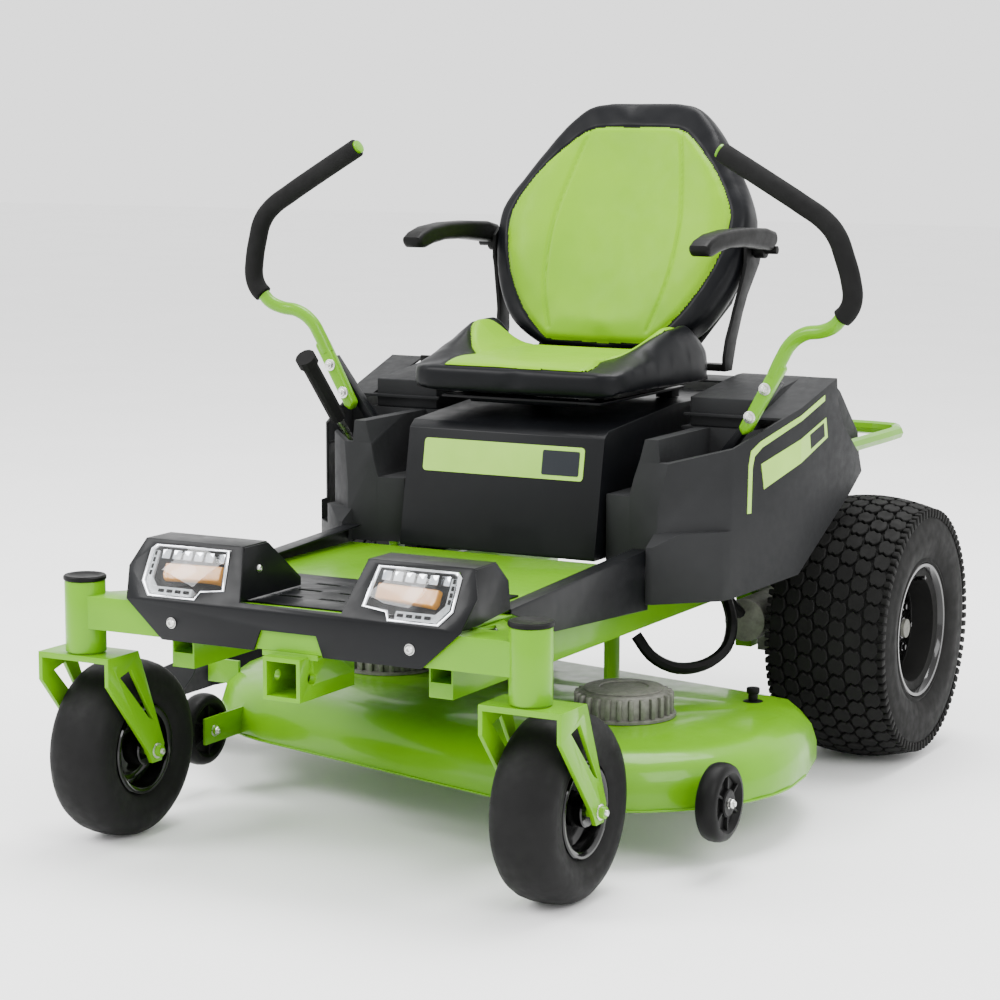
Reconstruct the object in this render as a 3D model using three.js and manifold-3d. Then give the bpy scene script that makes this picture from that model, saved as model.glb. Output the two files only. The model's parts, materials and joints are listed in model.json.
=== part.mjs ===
// Ride-on zero turn mower with electric drive, a two-blade side-discharge deck and a seat with armrests.
// Millimetres, +Z up, the front faces -Y and the operator's left is +X.
// Sub-parts are drawn with y = 0 on the rear axle and x = 0 on the middle of the machine,
// and the whole group is then moved so that its origin is the middle of its footprint.
import * as THREE from 'three';
import { mergeVertices } from 'three/addons/utils/BufferGeometryUtils.js';
import Module from 'manifold-3d';

const wasm = await Module();
wasm.setup();

// ---------- driving dimensions ----------
const FIT = 0.3;                       // gap between pieces that meet
const SHEET = 3;                       // steel sheet
const SHELL = 4;                       // moulded plastic wall
const ORIGIN_SHIFT = [51, 400, 0];     // from the rear axle's middle to the footprint's middle

const REAR_RADIUS = 229;               // 18 x 8.5-8 turf tyre
const REAR_WIDTH = 218;
const REAR_TRACK = 438;                // wheel middle from the centre plane
const REAR_BEAD = 109;
const REAR_SIDES = 28;

const CASTER_RADIUS = 139.7;           // 11 x 4-5 smooth tyre
const CASTER_WIDTH = 104;
const CASTER_SIDES = 24;
const CASTER_TRACK = 386;
const CASTER_AXLE_Y = -1081;
const SWIVEL_Y = -1169;
const SWIVEL_LOW = 308;
const SWIVEL_TOP = 418;

const BEAM = 50.8;                     // square front beam
const BEAM_FRONT = -1192;
const BEAM_LOW = 347;

const RAIL_X = 225;                    // frame rails
const RAIL_WIDTH = 40;
const RAIL_LOW = 292;
const RAIL_HIGH = 352;
const RAIL_REAR = 150;

const DECK_LOW = 87;                   // lower rim of the mower deck
const DECK_HIGH = 171;
const DECK_RADIUS = 290;
const DECK_SHOULDER = 62;              // how far the rounded shoulder reaches in
const BLADE_RADIUS = 262;
const BLADE_LOW = 96;
const LOBES = [[264, -622], [-258, -482]];
const GAUGE_WHEELS = [[531, -842], [-418, -818]];
const GAUGE_RADIUS = 60;
const GAUGE_WIDTH = 34;
const GAUGE_HEIGHT = 110;

const LEVER_SHAFT = [-387, 520];       // y, z of the fore and aft shaft
const LEVER_SWING = [328, 560];        // x, z of the sideways hinge
const LIFT_PIVOT = [-470, 335];        // y, z
const LIFT_X = -364;

const SEAT_HINGE = [-470, 646];        // y, z
const BACK_LEAN = 24;                  // degrees
const ARMREST_PIVOT = [-93, 888];      // y, z

const GREEN = finish(0x7fd321, 0.35, 0.3);
const BLACK_PAINT = finish(0x17181a, 0.45, 0.4);
const DARK_PLASTIC = finish(0x46484b, 0.7, 0);
const BLACK_PLASTIC = finish(0x141414, 0.6, 0);
const TYRE = finish(0x202020, 0.85, 0);
const RIM_PAINT = finish(0x0c0c0d, 0.2, 0.5);
const VINYL_BLACK = finish(0x161718, 0.5, 0);
const VINYL_GREEN = finish(0x86dd22, 0.5, 0);
const FOAM = finish(0x191919, 0.9, 0);
const CAST_GREY = finish(0x8c8e8b, 0.5, 0.8);
const STEEL = finish(0xa9abad, 0.35, 0.9);
const LENS = finish(0xdfe6ea, 0.05, 0);

const mower = new THREE.Group();
mower.position.set(...ORIGIN_SHIFT);

// ---------- small tools ----------
function finish(color, roughness, metalness) {
  return new THREE.MeshStandardMaterial({ color, roughness, metalness });
}

// One closed shape with shared corners and its faces pointing out.
function weld(geometry) {
  const bare = geometry.clone();
  bare.deleteAttribute('normal');
  bare.deleteAttribute('uv');
  const welded = mergeVertices(bare);
  const index = welded.index.array;
  const place = welded.attributes.position;
  const a = new THREE.Vector3();
  const b = new THREE.Vector3();
  const c = new THREE.Vector3();
  const kept = [];
  let volume = 0;
  for (let i = 0; i < index.length; i += 3) {
    const [p, q, r] = [index[i], index[i + 1], index[i + 2]];
    if (p === q || q === r || r === p) continue;
    kept.push(p, q, r);
    a.fromBufferAttribute(place, p);
    b.fromBufferAttribute(place, q);
    c.fromBufferAttribute(place, r);
    volume += a.dot(b.cross(c));
  }
  if (volume < 0) {
    kept.reverse();
  }
  welded.setIndex(kept);
  return welded;
}

function toSolid(geometry) {
  const welded = weld(geometry);
  return new wasm.Manifold(new wasm.Mesh({
    numProp: 3,
    vertProperties: new Float32Array(welded.attributes.position.array),
    triVerts: new Uint32Array(welded.index.array),
  }));
}

function toGeometry(solid) {
  const mesh = solid.getMesh();
  const geometry = new THREE.BufferGeometry();
  geometry.setAttribute('position', new THREE.BufferAttribute(new Float32Array(mesh.vertProperties), 3));
  geometry.setIndex(new THREE.BufferAttribute(new Uint32Array(mesh.triVerts), 1));
  return geometry;
}

function join(...pieces) {
  return toGeometry(pieces.map(toSolid).reduce((whole, piece) => whole.add(piece)));
}

function cut(body, ...tools) {
  return toGeometry(tools.map(toSolid).reduce((whole, tool) => whole.subtract(tool), toSolid(body)));
}

function overlap(body, other) {
  return toGeometry(toSolid(body).intersect(toSolid(other)));
}

function block(x0, x1, y0, y1, z0, z1) {
  const box = new THREE.BoxGeometry(x1 - x0, y1 - y0, z1 - z0);
  return box.translate((x0 + x1) / 2, (y0 + y1) / 2, (z0 + z1) / 2);
}

// A round bar whose flats, not its corners, lie at the given radius, turned so that one flat faces down.
function bar(axis, radius, length, x, y, z, sides = 16) {
  const corner = radius / Math.cos(Math.PI / sides);
  const round = new THREE.CylinderGeometry(corner, corner, length, sides);
  turnFromY(round, axis, Math.PI / sides);
  return round.translate(x, y, z);
}

// Shapes of revolution are made about Y, and this lays them along the wanted axis.
function turnFromY(geometry, axis, start) {
  geometry.rotateY(start);
  if (axis === 'x') geometry.rotateZ(-Math.PI / 2);
  if (axis === 'z') geometry.rotateX(Math.PI / 2);
  return geometry;
}

// A closed profile of [radius, distance along the axis] turned about the axis.
function turned(profile, axis, sides = 32) {
  const grow = 1 / Math.cos(Math.PI / sides);
  const points = profile.map(([r, along]) => new THREE.Vector2(r * grow, along));
  points.push(points[0].clone());
  const lathe = new THREE.LatheGeometry(points, sides);
  return turnFromY(lathe, axis, Math.PI / sides);
}

function outline(points) {
  return new THREE.Shape(points.map(([u, v]) => new THREE.Vector2(u, v)));
}

function prismZ(points, z0, z1) {
  const prism = new THREE.ExtrudeGeometry(outline(points), { depth: z1 - z0, bevelEnabled: false });
  return prism.translate(0, 0, z0);
}

// The points are [x, z].
function prismY(points, y0, y1) {
  const prism = new THREE.ExtrudeGeometry(outline(points), { depth: y1 - y0, bevelEnabled: false });
  return prism.rotateX(Math.PI / 2).translate(0, y1, 0);
}

// The points are [y, z].
function prismX(points, x0, x1) {
  const prism = new THREE.ExtrudeGeometry(outline(points), { depth: x1 - x0, bevelEnabled: false });
  return prism.rotateZ(Math.PI / 2).rotateY(Math.PI / 2).translate(x0, 0, 0);
}

// A sheet bent along a profile of [y, z] points: the same profile comes back set off by the sheet.
function bentSheet(points, thickness, x0, x1) {
  const back = points.map(([y, z], i) => {
    const [ya, za] = points[Math.max(i - 1, 0)];
    const [yb, zb] = points[Math.min(i + 1, points.length - 1)];
    const length = Math.hypot(yb - ya, zb - za);
    return [y + ((zb - za) / length) * thickness, z - ((yb - ya) / length) * thickness];
  });
  return prismX([...points, ...back.reverse()], x0, x1);
}

function tubeAlong(places, radius, steps, sides = 10) {
  const ring = [];
  for (let i = 0; i < sides; i += 1) {
    const angle = (2 * Math.PI * i) / sides;
    ring.push([radius * Math.cos(angle), radius * Math.sin(angle)]);
  }
  const path = new THREE.CatmullRomCurve3(places.map((p) => new THREE.Vector3(...p)), false, 'centripetal');
  return new THREE.ExtrudeGeometry(outline(ring), { steps, extrudePath: path, bevelEnabled: false });
}

function arc(cx, cy, radius, from, to, count) {
  const points = [];
  for (let i = 0; i <= count; i += 1) {
    const angle = THREE.MathUtils.degToRad(from + ((to - from) * i) / count);
    points.push([cx + radius * Math.cos(angle), cy + radius * Math.sin(angle)]);
  }
  return points;
}

function mirrored(geometry) {
  return geometry.clone().scale(-1, 1, 1);
}

function add(name, geometry, material, place = [0, 0, 0]) {
  const mesh = new THREE.Mesh(weld(geometry), material);
  mesh.name = name;
  mesh.position.set(...place);
  mower.add(mesh);
}

// The operator's left piece is drawn at +X, and the right one is its mirror image.
function addPair(name, geometry, material) {
  add(`left_${name}`, geometry, material);
  add(`right_${name}`, mirrored(geometry), material);
}

// ---------- frame ----------
function frontAxleBeam() {
  const back = BEAM_FRONT + BEAM;
  const top = BEAM_LOW + BEAM;
  const middle = (SWIVEL_LOW + SWIVEL_TOP) / 2;
  let beam = cut(
    block(-CASTER_TRACK, CASTER_TRACK, BEAM_FRONT, back, BEAM_LOW, top),
    block(-340, 340, BEAM_FRONT + SHEET, back - SHEET, BEAM_LOW + SHEET, top - SHEET),
  );
  for (const side of [-1, 1]) {
    const x = side * CASTER_TRACK;
    const gusset = prismZ([[side * 228, back - 5], [side * 276, -1048], [side * 364, -1146]], top - 5, top);
    const window = prismZ([[side * 276, -1128], [side * 287, -1092], [side * 312, -1128]], top - 6, top + 1);
    const tube = bar('z', 30.5, SWIVEL_TOP - SWIVEL_LOW, x, SWIVEL_Y, middle, 24);
    const bore = bar('z', 20.8, SWIVEL_TOP - SWIVEL_LOW + 2, x, SWIVEL_Y, middle, 16);
    beam = cut(join(beam, cut(gusset, window), tube), bore);
    beam = cut(beam, bar('z', 5, 20, side * 150, BEAM_FRONT + BEAM / 2, BEAM_LOW, 8));
  }
  return beam;
}

function receiverHitch() {
  const outer = block(-32, 32, -1215, -1065, 278, 342);
  const inner = block(-25.5, 25.5, -1216, -1064, 284.5, 335.5);
  const collar = block(-48, 48, BEAM_FRONT, BEAM_FRONT + BEAM, 338, BEAM_LOW - FIT);
  const gusset = prismX([[-1185, 300], [-1068, 300], [-1141, 346], [-1185, 346]], 32, 36);
  return cut(join(outer, collar, gusset, mirrored(gusset)), inner, bar('x', 8, 100, 0, -1186, 310, 12));
}

function mainFrame() {
  const hollow = 34;
  let frame = block(-RAIL_X, RAIL_X, 90, RAIL_REAR, RAIL_LOW, RAIL_HIGH);
  frame = join(frame, block(-RAIL_X, RAIL_X, -590, -545, RAIL_LOW, RAIL_LOW + 40));
  for (const side of [-1, 1]) {
    const [x0, x1] = [side * RAIL_X - RAIL_WIDTH / 2, side * RAIL_X + RAIL_WIDTH / 2];
    const rail = block(x0, x1, BEAM_FRONT + BEAM + FIT, RAIL_REAR, RAIL_LOW, RAIL_HIGH);
    const drop = block(x0 + 5, x1 - 5, -60, 60, 180, RAIL_LOW + 2);
    frame = join(frame, rail, drop);
    const core = block(x0 + SHEET, x1 - SHEET, BEAM_FRONT + BEAM - 1, RAIL_REAR + 1, RAIL_HIGH - 3 - hollow, RAIL_HIGH - 3);
    frame = cut(frame, core);
  }
  const foot = block(RAIL_X, 306, -400, -374, 325, 344);
  const post = block(290, 306, -400, -374, 325, 535);
  const pin = bar('x', 8, 50, 317, LEVER_SHAFT[0], LEVER_SHAFT[1], 12);
  const leverPost = join(foot, post, pin);
  const liftArm = block(-350, -RAIL_X, LIFT_PIVOT[0] - 14, LIFT_PIVOT[0] + 14, 320, 346);
  const liftPin = bar('x', 8, 34, LIFT_X + 4, LIFT_PIVOT[0], LIFT_PIVOT[1], 12);
  return join(frame, leverPost, mirrored(leverPost), liftArm, liftPin);
}

function rearBumper() {
  const side = [352, 352, 352, 347, 322, 270];
  const back = [20, 160, 330, 380, 402, 406];
  const places = [];
  for (let i = 0; i < side.length; i += 1) places.push([side[i], back[i], 528]);
  places.push([0, 406, 528]);
  for (let i = side.length - 1; i >= 0; i -= 1) places.push([-side[i], back[i], 528]);
  return tubeAlong(places, 12.7, 30, 8);
}

// ---------- foot well and front cover ----------
function floorPan() {
  return block(-278, 278, BEAM_FRONT + BEAM + FIT, -575, 399, 402);
}

function footPlate() {
  let plate = block(-222, 222, -1136, -900, 402.3, 405.3);
  for (const x of [-150, -75, 0, 75, 150]) {
    for (const y of [-1075, -1020, -965]) {
      plate = cut(plate, block(x - 22, x + 22, y - 5, y + 5, 400, 408));
    }
  }
  return plate;
}

function footPanel() {
  const wall = prismX([[-1036, 404], [-896, 354], [-576, 335], [-576, 433], [-1036, 411]], 280, 283);
  const flange = prismX([[-1036, 408], [-576, 430], [-576, 433], [-1036, 411]], 256, 283);
  return join(wall, flange);
}

const COVER_FOLD = 402;
const COVER_FRONT = [[-1197, 345], [-1197, COVER_FOLD], [-1148, 488], [-1085, 488]];
const LENS_OUTLINE = [[118, 424], [160, 420], [166, 408], [252, 408], [270, 428], [270, 474], [262, 481], [128, 481]];

function bumperOutline(side) {
  const half = [[48, 376], [60, 345], [224, 345], [288, COVER_FOLD], [301, 448], [284, 489], [109, 489], [88, 412]];
  return half.map(([x, z]) => [side * x, z]);
}

function grownOutline(points, step) {
  const cx = points.reduce((sum, p) => sum + p[0], 0) / points.length;
  const cz = points.reduce((sum, p) => sum + p[1], 0) / points.length;
  return points.map(([x, z]) => [x + Math.sign(x - cx) * step, z + Math.sign(z - cz) * step]);
}

function frontCover() {
  const right = bumperOutline(1);
  const left = bumperOutline(-1).reverse();
  const face = prismY([...right, ...left], -1230, -1060);
  const sheet = overlap(bentSheet(COVER_FRONT, SHEET, -310, 310), face);
  const cheek = [[-1146, 486], [-1085, 486], [-1050, 456], [-1044, 413], [-1140, 404], [-1190, 404]];
  const outer = prismX(cheek, 283, 286);
  const inner = prismX([[-1146, 486], [-1085, 486], [-996, 420], [-996, 407], [-1188, 407]], 106, 109);
  const holes = prismY(grownOutline(LENS_OUTLINE, 0), -1230, -1100);
  return cut(join(sheet, outer, inner, mirrored(outer), mirrored(inner)), holes, mirrored(holes));
}

function headlight() {
  const slope = bentSheet([[-1202, COVER_FOLD - 2], [-1151, 489]], 22, 100, 300);
  return overlap(slope, prismY(grownOutline(LENS_OUTLINE, -0.5), -1230, -1100));
}

// ---------- battery box, fenders and rear cover ----------
const BOX_HALF = 183;

function batteryBox() {
  const side = [[-570, 404], [-570, 410], [-536, 600], [-520, 612], [-270, 632], [-41, 632], [-41, 404]];
  const hollow = [[-566, 408], [-566, 412], [-532, 597], [-518, 608], [-270, 628], [-40, 628], [-40, 408]];
  return cut(prismX(side, -BOX_HALF, BOX_HALF), prismX(hollow, -BOX_HALF + SHEET, BOX_HALF - SHEET));
}

// Plan outline of the left fender, set in by a wall thickness where wanted.
function fenderPlan(inset) {
  return [
    [190 + inset, -542 + inset], [238, -552 + inset], [291 - inset * 0.4, -560 + inset],
    [385 - inset, -480 + inset * 0.6], [428 - inset, -300], [441 - inset, -110],
    [441 - inset, inset - 40], [190 + inset, inset - 40],
  ];
}

const FENDER_SIDE = [
  [-572, 420], [-549, 569], [-480, 590], [-340, 630], [-167, 680], [-163, 643], [-137, 594], [-69, 541], [-55, 509],
  [-302, 363], [-478, 346], [-572, 346],
];

function fenderShell() {
  const body = overlap(prismZ(fenderPlan(0), 330, 700), prismX(FENDER_SIDE, 180, 460));
  const lowered = FENDER_SIDE.map(([y, z], i) => (i < 5 ? [y + (i < 2 ? SHELL : 0), z - SHELL] : [y + (i < 10 ? 30 : 0), z - 30]));
  const hollow = overlap(prismZ(fenderPlan(SHELL), 300, 700), prismX(lowered, 180, 460));
  const skirtPlan = [[284.5, -500], [284.5, -590], [296, -588], [380, -504], [385, -480], [370, -465]];
  const skirtSide = [[-600, 346], [-478, 346], [-440, 350], [-440, 458], [-556, 458], [-600, 432]];
  const skirt = overlap(prismZ(skirtPlan, 330, 470), prismX(skirtSide, 180, 460));
  const skirtHollow = [[288.5, -480], [288.5, -586], [295, -584], [376, -503], [381, -478], [378, -450]];
  const skirtSpace = prismZ(skirtHollow, 300, 430);
  return cut(join(body, skirt), hollow, skirtSpace);
}

function fender() {
  const shoulder = 606;
  const step = 512;
  const recessFloor = 556;
  const recessBack = -347;
  const inward = block(180, 236, -620, -30, step, 700);
  const leanedIn = prismY([[230, step], [236, step], [262, shoulder], [262, 700], [230, 700]], -620, recessBack);
  const seatSide = block(180, 372, recessBack + SHELL, -30, shoulder, 720);
  const recess = prismZ(
    [[284, -545], [299, -543], [382.2, -475], [412.6, recessBack], [284, recessBack]], recessFloor, 720,
  );
  const shelf = block(232, 376, recessBack, -165, shoulder - SHELL, shoulder);
  const floor = prismZ(
    [[280, -546], [300, -546], [384, -477], [414.4, recessBack + SHELL], [280, recessBack + SHELL]],
    recessFloor - SHELL, recessFloor,
  );
  const backWall = block(236, 413, recessBack, recessBack + SHELL, recessFloor - SHELL, shoulder);
  const inside = block(280, 284, -545, recessBack + SHELL, recessFloor - SHELL, shoulder);
  const rim = block(262, 284, -545, recessBack + SHELL, shoulder - SHELL, shoulder);
  const slantedWall = prismY(
    [[236, step - SHELL], [240, step - SHELL], [266, shoulder], [262, shoulder]], -548, recessBack + SHELL,
  );
  const frontCheek = prismY(
    [[236, step - SHELL], [288, step - SHELL], [288, 566], [284, shoulder], [262, shoulder]], -549, -545,
  );
  const steppedTop = block(190, 242, -540, -165, step - SHELL, step);
  const innerWall = block(236, 240, recessBack, -165, step - SHELL, shoulder - 2);
  const underRim = block(262, 284, -545, recessBack, recessFloor - SHELL, 720);
  let shell = cut(fenderShell(), inward, leanedIn, seatSide, recess, underRim);
  shell = join(shell, shelf, floor, backWall, inside, rim, slantedWall, frontCheek, steppedTop, innerWall);
  const leverSlot = block(306, 360, -470, -352, recessFloor - 10, recessFloor + 10);
  const innerOpening = block(180, 284.2, -620, -30, 300, 403);
  return cut(shell, leverSlot, innerOpening);
}

function rightFender() {
  const liftSlot = block(-380, -346, -620, -395, 424, 720);
  return cut(mirrored(fender()), liftSlot);
}

function sideConsole() {
  const side = [[-339, 606.3], [-339, 655], [-150, 676], [-125, 676], [-125, 606.3]];
  const hollow = [[-335, 600], [-335, 651], [-150, 672], [-129, 672], [-129, 600]];
  return cut(prismX(side, 244, 366), prismX(hollow, 248, 362));
}

function rearCover() {
  const side = [[-35, 600], [-35, 650], [60, 650], [100, 628], [190, 545], [205, 470], [-35, 470]];
  const hollow = [[-36, 600], [-36, 646], [59, 646], [98, 624], [186, 543], [201, 469], [-36, 469]];
  let cover = cut(prismX(side, -338, 338), prismX(hollow, -334, 334));
  const slot = prismX([[70, 600], [78, 604], [98, 572], [90, 568]], -400, 400);
  cover = cut(cover, slot);
  for (const z of [492, 512]) cover = cut(cover, block(-120, 120, 150, 230, z, z + 8));
  return cover;
}

// ---------- drive ----------
function driveMotor() {
  const gearbox = block(252, 314, -58, 58, 176, 285);
  const collar = bar('x', 34, 26, 325, 0, REAR_RADIUS, 20);
  const axle = bar('x', 16, 190, 415, 0, REAR_RADIUS, 16);
  const can = bar('y', 37, 150, 286, -120, 255, 20);
  return join(gearbox, collar, axle, can);
}

function rearTyre() {
  const half = REAR_WIDTH / 2;
  const side = [[REAR_BEAD, 86], [120, 92], [140, 105], [180, half], [214, 98], [REAR_RADIUS, 58]];
  const mirrorSide = side.map(([r, x]) => [r, -x]).reverse();
  return turned([...side, ...mirrorSide], 'x', REAR_SIDES);
}

function rearRim() {
  return turned([
    [108.6, 87], [114, 92], [114, 97], [104, 97], [104, 62], [94, 50], [52, 50], [48, 62], [17, 62],
    [17, 36], [96, 36], [104, -97], [114, -97], [108.6, -87],
  ], 'x', REAR_SIDES);
}

// ---------- casters ----------
function casterFork() {
  const plateTop = 306;
  const plateLow = 297;
  const inner = 59;
  const outer = 66;
  const x0 = CASTER_TRACK - outer;
  const x1 = CASTER_TRACK + outer;
  const top = block(x0, x1, SWIVEL_Y - 34, SWIVEL_Y + 44, plateLow, plateTop);
  const leg = prismX([
    [SWIVEL_Y - 34, plateTop], [SWIVEL_Y + 44, plateTop], [CASTER_AXLE_Y + 20, 148],
    [CASTER_AXLE_Y + 12, 122], [CASTER_AXLE_Y - 12, 122], [CASTER_AXLE_Y - 24, 144], [SWIVEL_Y - 34, 262],
  ], CASTER_TRACK + inner, x1);
  const window = prismX([
    [SWIVEL_Y - 4, 272], [SWIVEL_Y + 24, 280], [CASTER_AXLE_Y - 8, 190], [CASTER_AXLE_Y - 20, 196],
  ], x0 - 1, x1 + 1);
  const farLeg = leg.clone().translate(-inner - outer, 0, 0);
  const post = bar('z', 20, SWIVEL_TOP - plateLow, CASTER_TRACK, SWIVEL_Y, (SWIVEL_TOP + plateLow) / 2 - 1, 16);
  const washer = bar('z', 27, 3, CASTER_TRACK, SWIVEL_Y, SWIVEL_LOW - FIT - 1.5, 16);
  const axle = bar('x', 9, 2 * outer + 18, CASTER_TRACK, CASTER_AXLE_Y, CASTER_RADIUS, 12);
  return join(cut(join(top, leg, farLeg), window), post, washer, axle);
}

function casterTyre() {
  const half = CASTER_WIDTH / 2;
  const side = [[66, 34], [73, 36], [86, 49], [108, half], [130, 42], [CASTER_RADIUS, 14]];
  const mirrorSide = side.map(([r, x]) => [r, -x]).reverse();
  return turned([...side, ...mirrorSide], 'x', CASTER_SIDES);
}

function casterRim() {
  return turned([
    [65.6, 36], [70, 40], [70, 44], [60, 44], [56, 16], [24, 12], [24, 48], [9.8, 48],
    [9.8, -48], [24, -48], [24, 4], [60, -44], [70, -44], [65.6, -37],
  ], 'x', CASTER_SIDES);
}

// ---------- seat ----------
const BACK_FOOT = [-212, 722];         // y, z where the backrest starts

function shield(step) {
  const half = [[108, 0], [176, 40], [222, 120], [242, 210], [238, 262], [200, 332], [150, 408], [106, 452], [60, 462]];
  const right = half.map(([x, s]) => [x - step, s - step * 0.5]);
  return [...right, ...right.map(([x, s]) => [-x, s]).reverse()];
}

// Lays a shape drawn upright at y = 0 back along the lean of the backrest.
function leaned(geometry) {
  geometry.rotateX(-THREE.MathUtils.degToRad(BACK_LEAN));
  return geometry.translate(0, BACK_FOOT[0], BACK_FOOT[1]);
}

function seatBack() {
  return leaned(prismY(shield(0), -8, 70));
}

function seatShell() {
  const back = leaned(prismY(shield(14), 70.5, 82));
  const pan = block(-190, 190, -500, -150, 664, 671);
  const link = prismX([
    [-190, 664], [-146, 664], [-118, 700], [-98, 748], [-108, 752], [-134, 712], [-152, 684], [-190, 671],
  ], -150, 150);
  const shell = join(back, pan, link);
  const yokeFront = [
    [250, 916], [244, 916], [244, 866], [228, 780], [222, 735], [222, 680], [228, 680], [228, 733], [234, 778],
    [250, 862],
  ];
  const yokeSide = [
    [-104, 918], [-126, 902], [-126, 850], [-140, 770], [-162, 704], [-162, 680], [-132, 680], [-112, 735],
    [-96, 810], [-60, 884], [-60, 900],
  ];
  const yoke = overlap(prismY(yokeFront, -180, -40), prismX(yokeSide, 200, 270));
  const foot = block(148, 228, -160, -134, 680, 692);
  const pin = bar('x', 7, 46, 270, ARMREST_PIVOT[0], ARMREST_PIVOT[1], 12);
  const bracket = join(yoke, foot, pin);
  return join(shell, bracket, mirrored(bracket));
}

function seatCushion() {
  const side = [
    [-500, 671.5], [-503, 657], [-521, 659], [-527, 690], [-527, 712], [-505, 738], [-300, 762], [-236, 744], [-223, 722], [-200, 706],
    [-200, 671.5],
  ];
  const full = prismX(side, -214, 214);
  const plan = prismZ([
    [-178, -530], [178, -530], [214, -480], [218, -240], [150, -190], [-150, -190], [-218, -240], [-214, -480],
  ], 660, 800);
  const bolster = overlap(
    prismX([[-480, 671.5], [-480, 734], [-300, 768], [-205, 764], [-174, 744], [-174, 686], [-190, 671.5]], 190, 234),
    prismZ([[180, -484], [206, -480], [230, -400], [234, -230], [212, -174], [188, -174]], 660, 800),
  );
  return join(overlap(full, plan), bolster, mirrored(bolster));
}

function seatPlate() {
  const plate = block(-150, 150, -485, -160, 648, 652);
  const knuckle = bar('x', 7, 200, 0, SEAT_HINGE[0], SEAT_HINGE[1] + 2, 10);
  const rails = block(118, 134, -440, -200, 652, 663.5);
  const post = block(-140, -110, -190, -160, 633, 650);
  return join(plate, knuckle, rails, mirrored(rails), post, mirrored(post));
}

function armrest() {
  const side = [
    [-372, 876], [-384, 890], [-376, 908], [-330, 922], [-120, 926], [-84, 918], [-78, 884], [-104, 872],
    [-200, 882], [-330, 884],
  ];
  return cut(prismX(side, 251, 294), bar('x', 7.4, 90, 270, ARMREST_PIVOT[0], ARMREST_PIVOT[1], 12));
}

// ---------- lap bars ----------
function leverPivot() {
  const lug = block(LEVER_SWING[0] - 14, LEVER_SWING[0] + 10, -404, -370, 506, 548);
  const shaftHole = bar('x', 8.4, 60, LEVER_SWING[0], LEVER_SHAFT[0], LEVER_SHAFT[1], 12);
  const ear = block(LEVER_SWING[0] - 10, LEVER_SWING[0] + 10, -404, -399, 540, 572);
  const backEar = ear.clone().translate(0, 27, 0);
  const pin = bar('y', 5, 34, LEVER_SWING[0], -387, LEVER_SWING[1], 10);
  return cut(join(lug, ear, backEar, pin), shaftHole);
}

function leverArm() {
  const strip = [[338, 556], [354, 588], [430, 690], [420, 697], [340, 592], [318, 566], [318, 552]];
  return cut(prismY(strip, -398, -377.5), bar('y', 5.4, 60, LEVER_SWING[0], -387, LEVER_SWING[1], 10));
}

function leverTube() {
  const low = [[374, 604], [386, 612], [446, 716], [438, 728], [424, 724], [366, 618]];
  const bracket = prismY(low, -420, -398.4);
  const tube = tubeAlong([
    [424, -410, 704], [438, -412, 732], [455, -414, 758], [480, -418, 775], [512, -422, 781],
    [533, -426, 790], [545, -428, 802],
  ], 11.1, 16, 8);
  return join(bracket, tube);
}

function leverGrip() {
  return tubeAlong([
    [546.3, -428, 803.4], [556, -428.5, 813], [564, -429, 832], [562, -431, 862], [552, -435, 900], [540, -438, 932],
    [521, -439, 955], [480, -440, 982], [436, -441, 1008], [342, -442, 1062],
  ], 16.5, 24, 8);
}

// ---------- deck ----------
function deckPlan(inset) {
  const [left, right] = LOBES;
  const radius = DECK_RADIUS - DECK_SHOULDER - inset;
  const grow = DECK_SHOULDER + inset;
  return [
    ...arc(left[0], left[1], radius, -105, 0, 9),
    [546 - grow, -545], [512 - grow * 0.85, -452], [455 - grow * 0.6, -350 - grow * 0.6],
    [360 - grow * 0.1, -306 - grow],
    [-240, -193 - grow],
    [-322 + grow * 0.2, -214 - grow],
    [-396 + grow * 0.4, -232 - grow],
    ...arc(right[0], right[1], radius, 128, 255, 10),
  ];
}

function deckDome(inset, lower) {
  const dome = new THREE.ExtrudeGeometry(outline(deckPlan(inset)), {
    depth: 60, bevelEnabled: true, bevelThickness: 54, bevelSize: DECK_SHOULDER, bevelSegments: 3,
  });
  return dome.translate(0, 0, DECK_HIGH - 54 - 60 - lower);
}

function deckShell() {
  const band = block(-700, 700, -1000, 0, DECK_LOW, 400);
  let shell = cut(overlap(deckDome(0, 0), band), deckDome(SHEET, SHEET));
  shell = cut(shell, block(-620, -505, -590, -400, DECK_LOW - 1, 140));
  for (const [x, y] of LOBES) {
    shell = cut(shell, bar('z', 24, 40, x, y, DECK_HIGH, 16));
  }
  const [leftWheel, rightWheel] = GAUGE_WHEELS;
  const inward = GAUGE_WIDTH / 2 + 3;
  shell = join(
    shell,
    gaugeArm([[leftWheel[0] - inward - 5, -744], [leftWheel[0] - inward - 5, leftWheel[1] - 26]]),
    block(leftWheel[0] - 80, leftWheel[0] - inward, -760, -752, 105, 140),
    bar('x', 7, 44, leftWheel[0] - 8, leftWheel[1], GAUGE_HEIGHT, 10),
    gaugeArm([[rightWheel[0] + inward, -700], [rightWheel[0] + inward, rightWheel[1] - 26]]),
    bar('x', 7, 44, rightWheel[0] + 8, rightWheel[1], GAUGE_HEIGHT, 10),
  );
  const [hangX, hangY] = [150, -436];
  shell = join(shell, block(hangX - 4, hangX + 4, hangY - 22, hangY + 22, DECK_HIGH - 4, 286));
  shell = join(shell, block(-hangX - 4, -hangX + 4, hangY - 22, hangY + 22, DECK_HIGH - 4, 286));
  const hingeRod = bar('y', 4, 190, -539, -520, 176, 8);
  shell = join(shell, chuteLug(-618), chuteLug(-428), hingeRod);
  return cut(shell, overlap(deckDome(SHEET, SHEET), block(-700, 700, -1000, 0, 0, 400)));
}

function chuteLug(y) {
  return block(-543.5, -480, y, y + 6, 141, 182);
}

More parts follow.
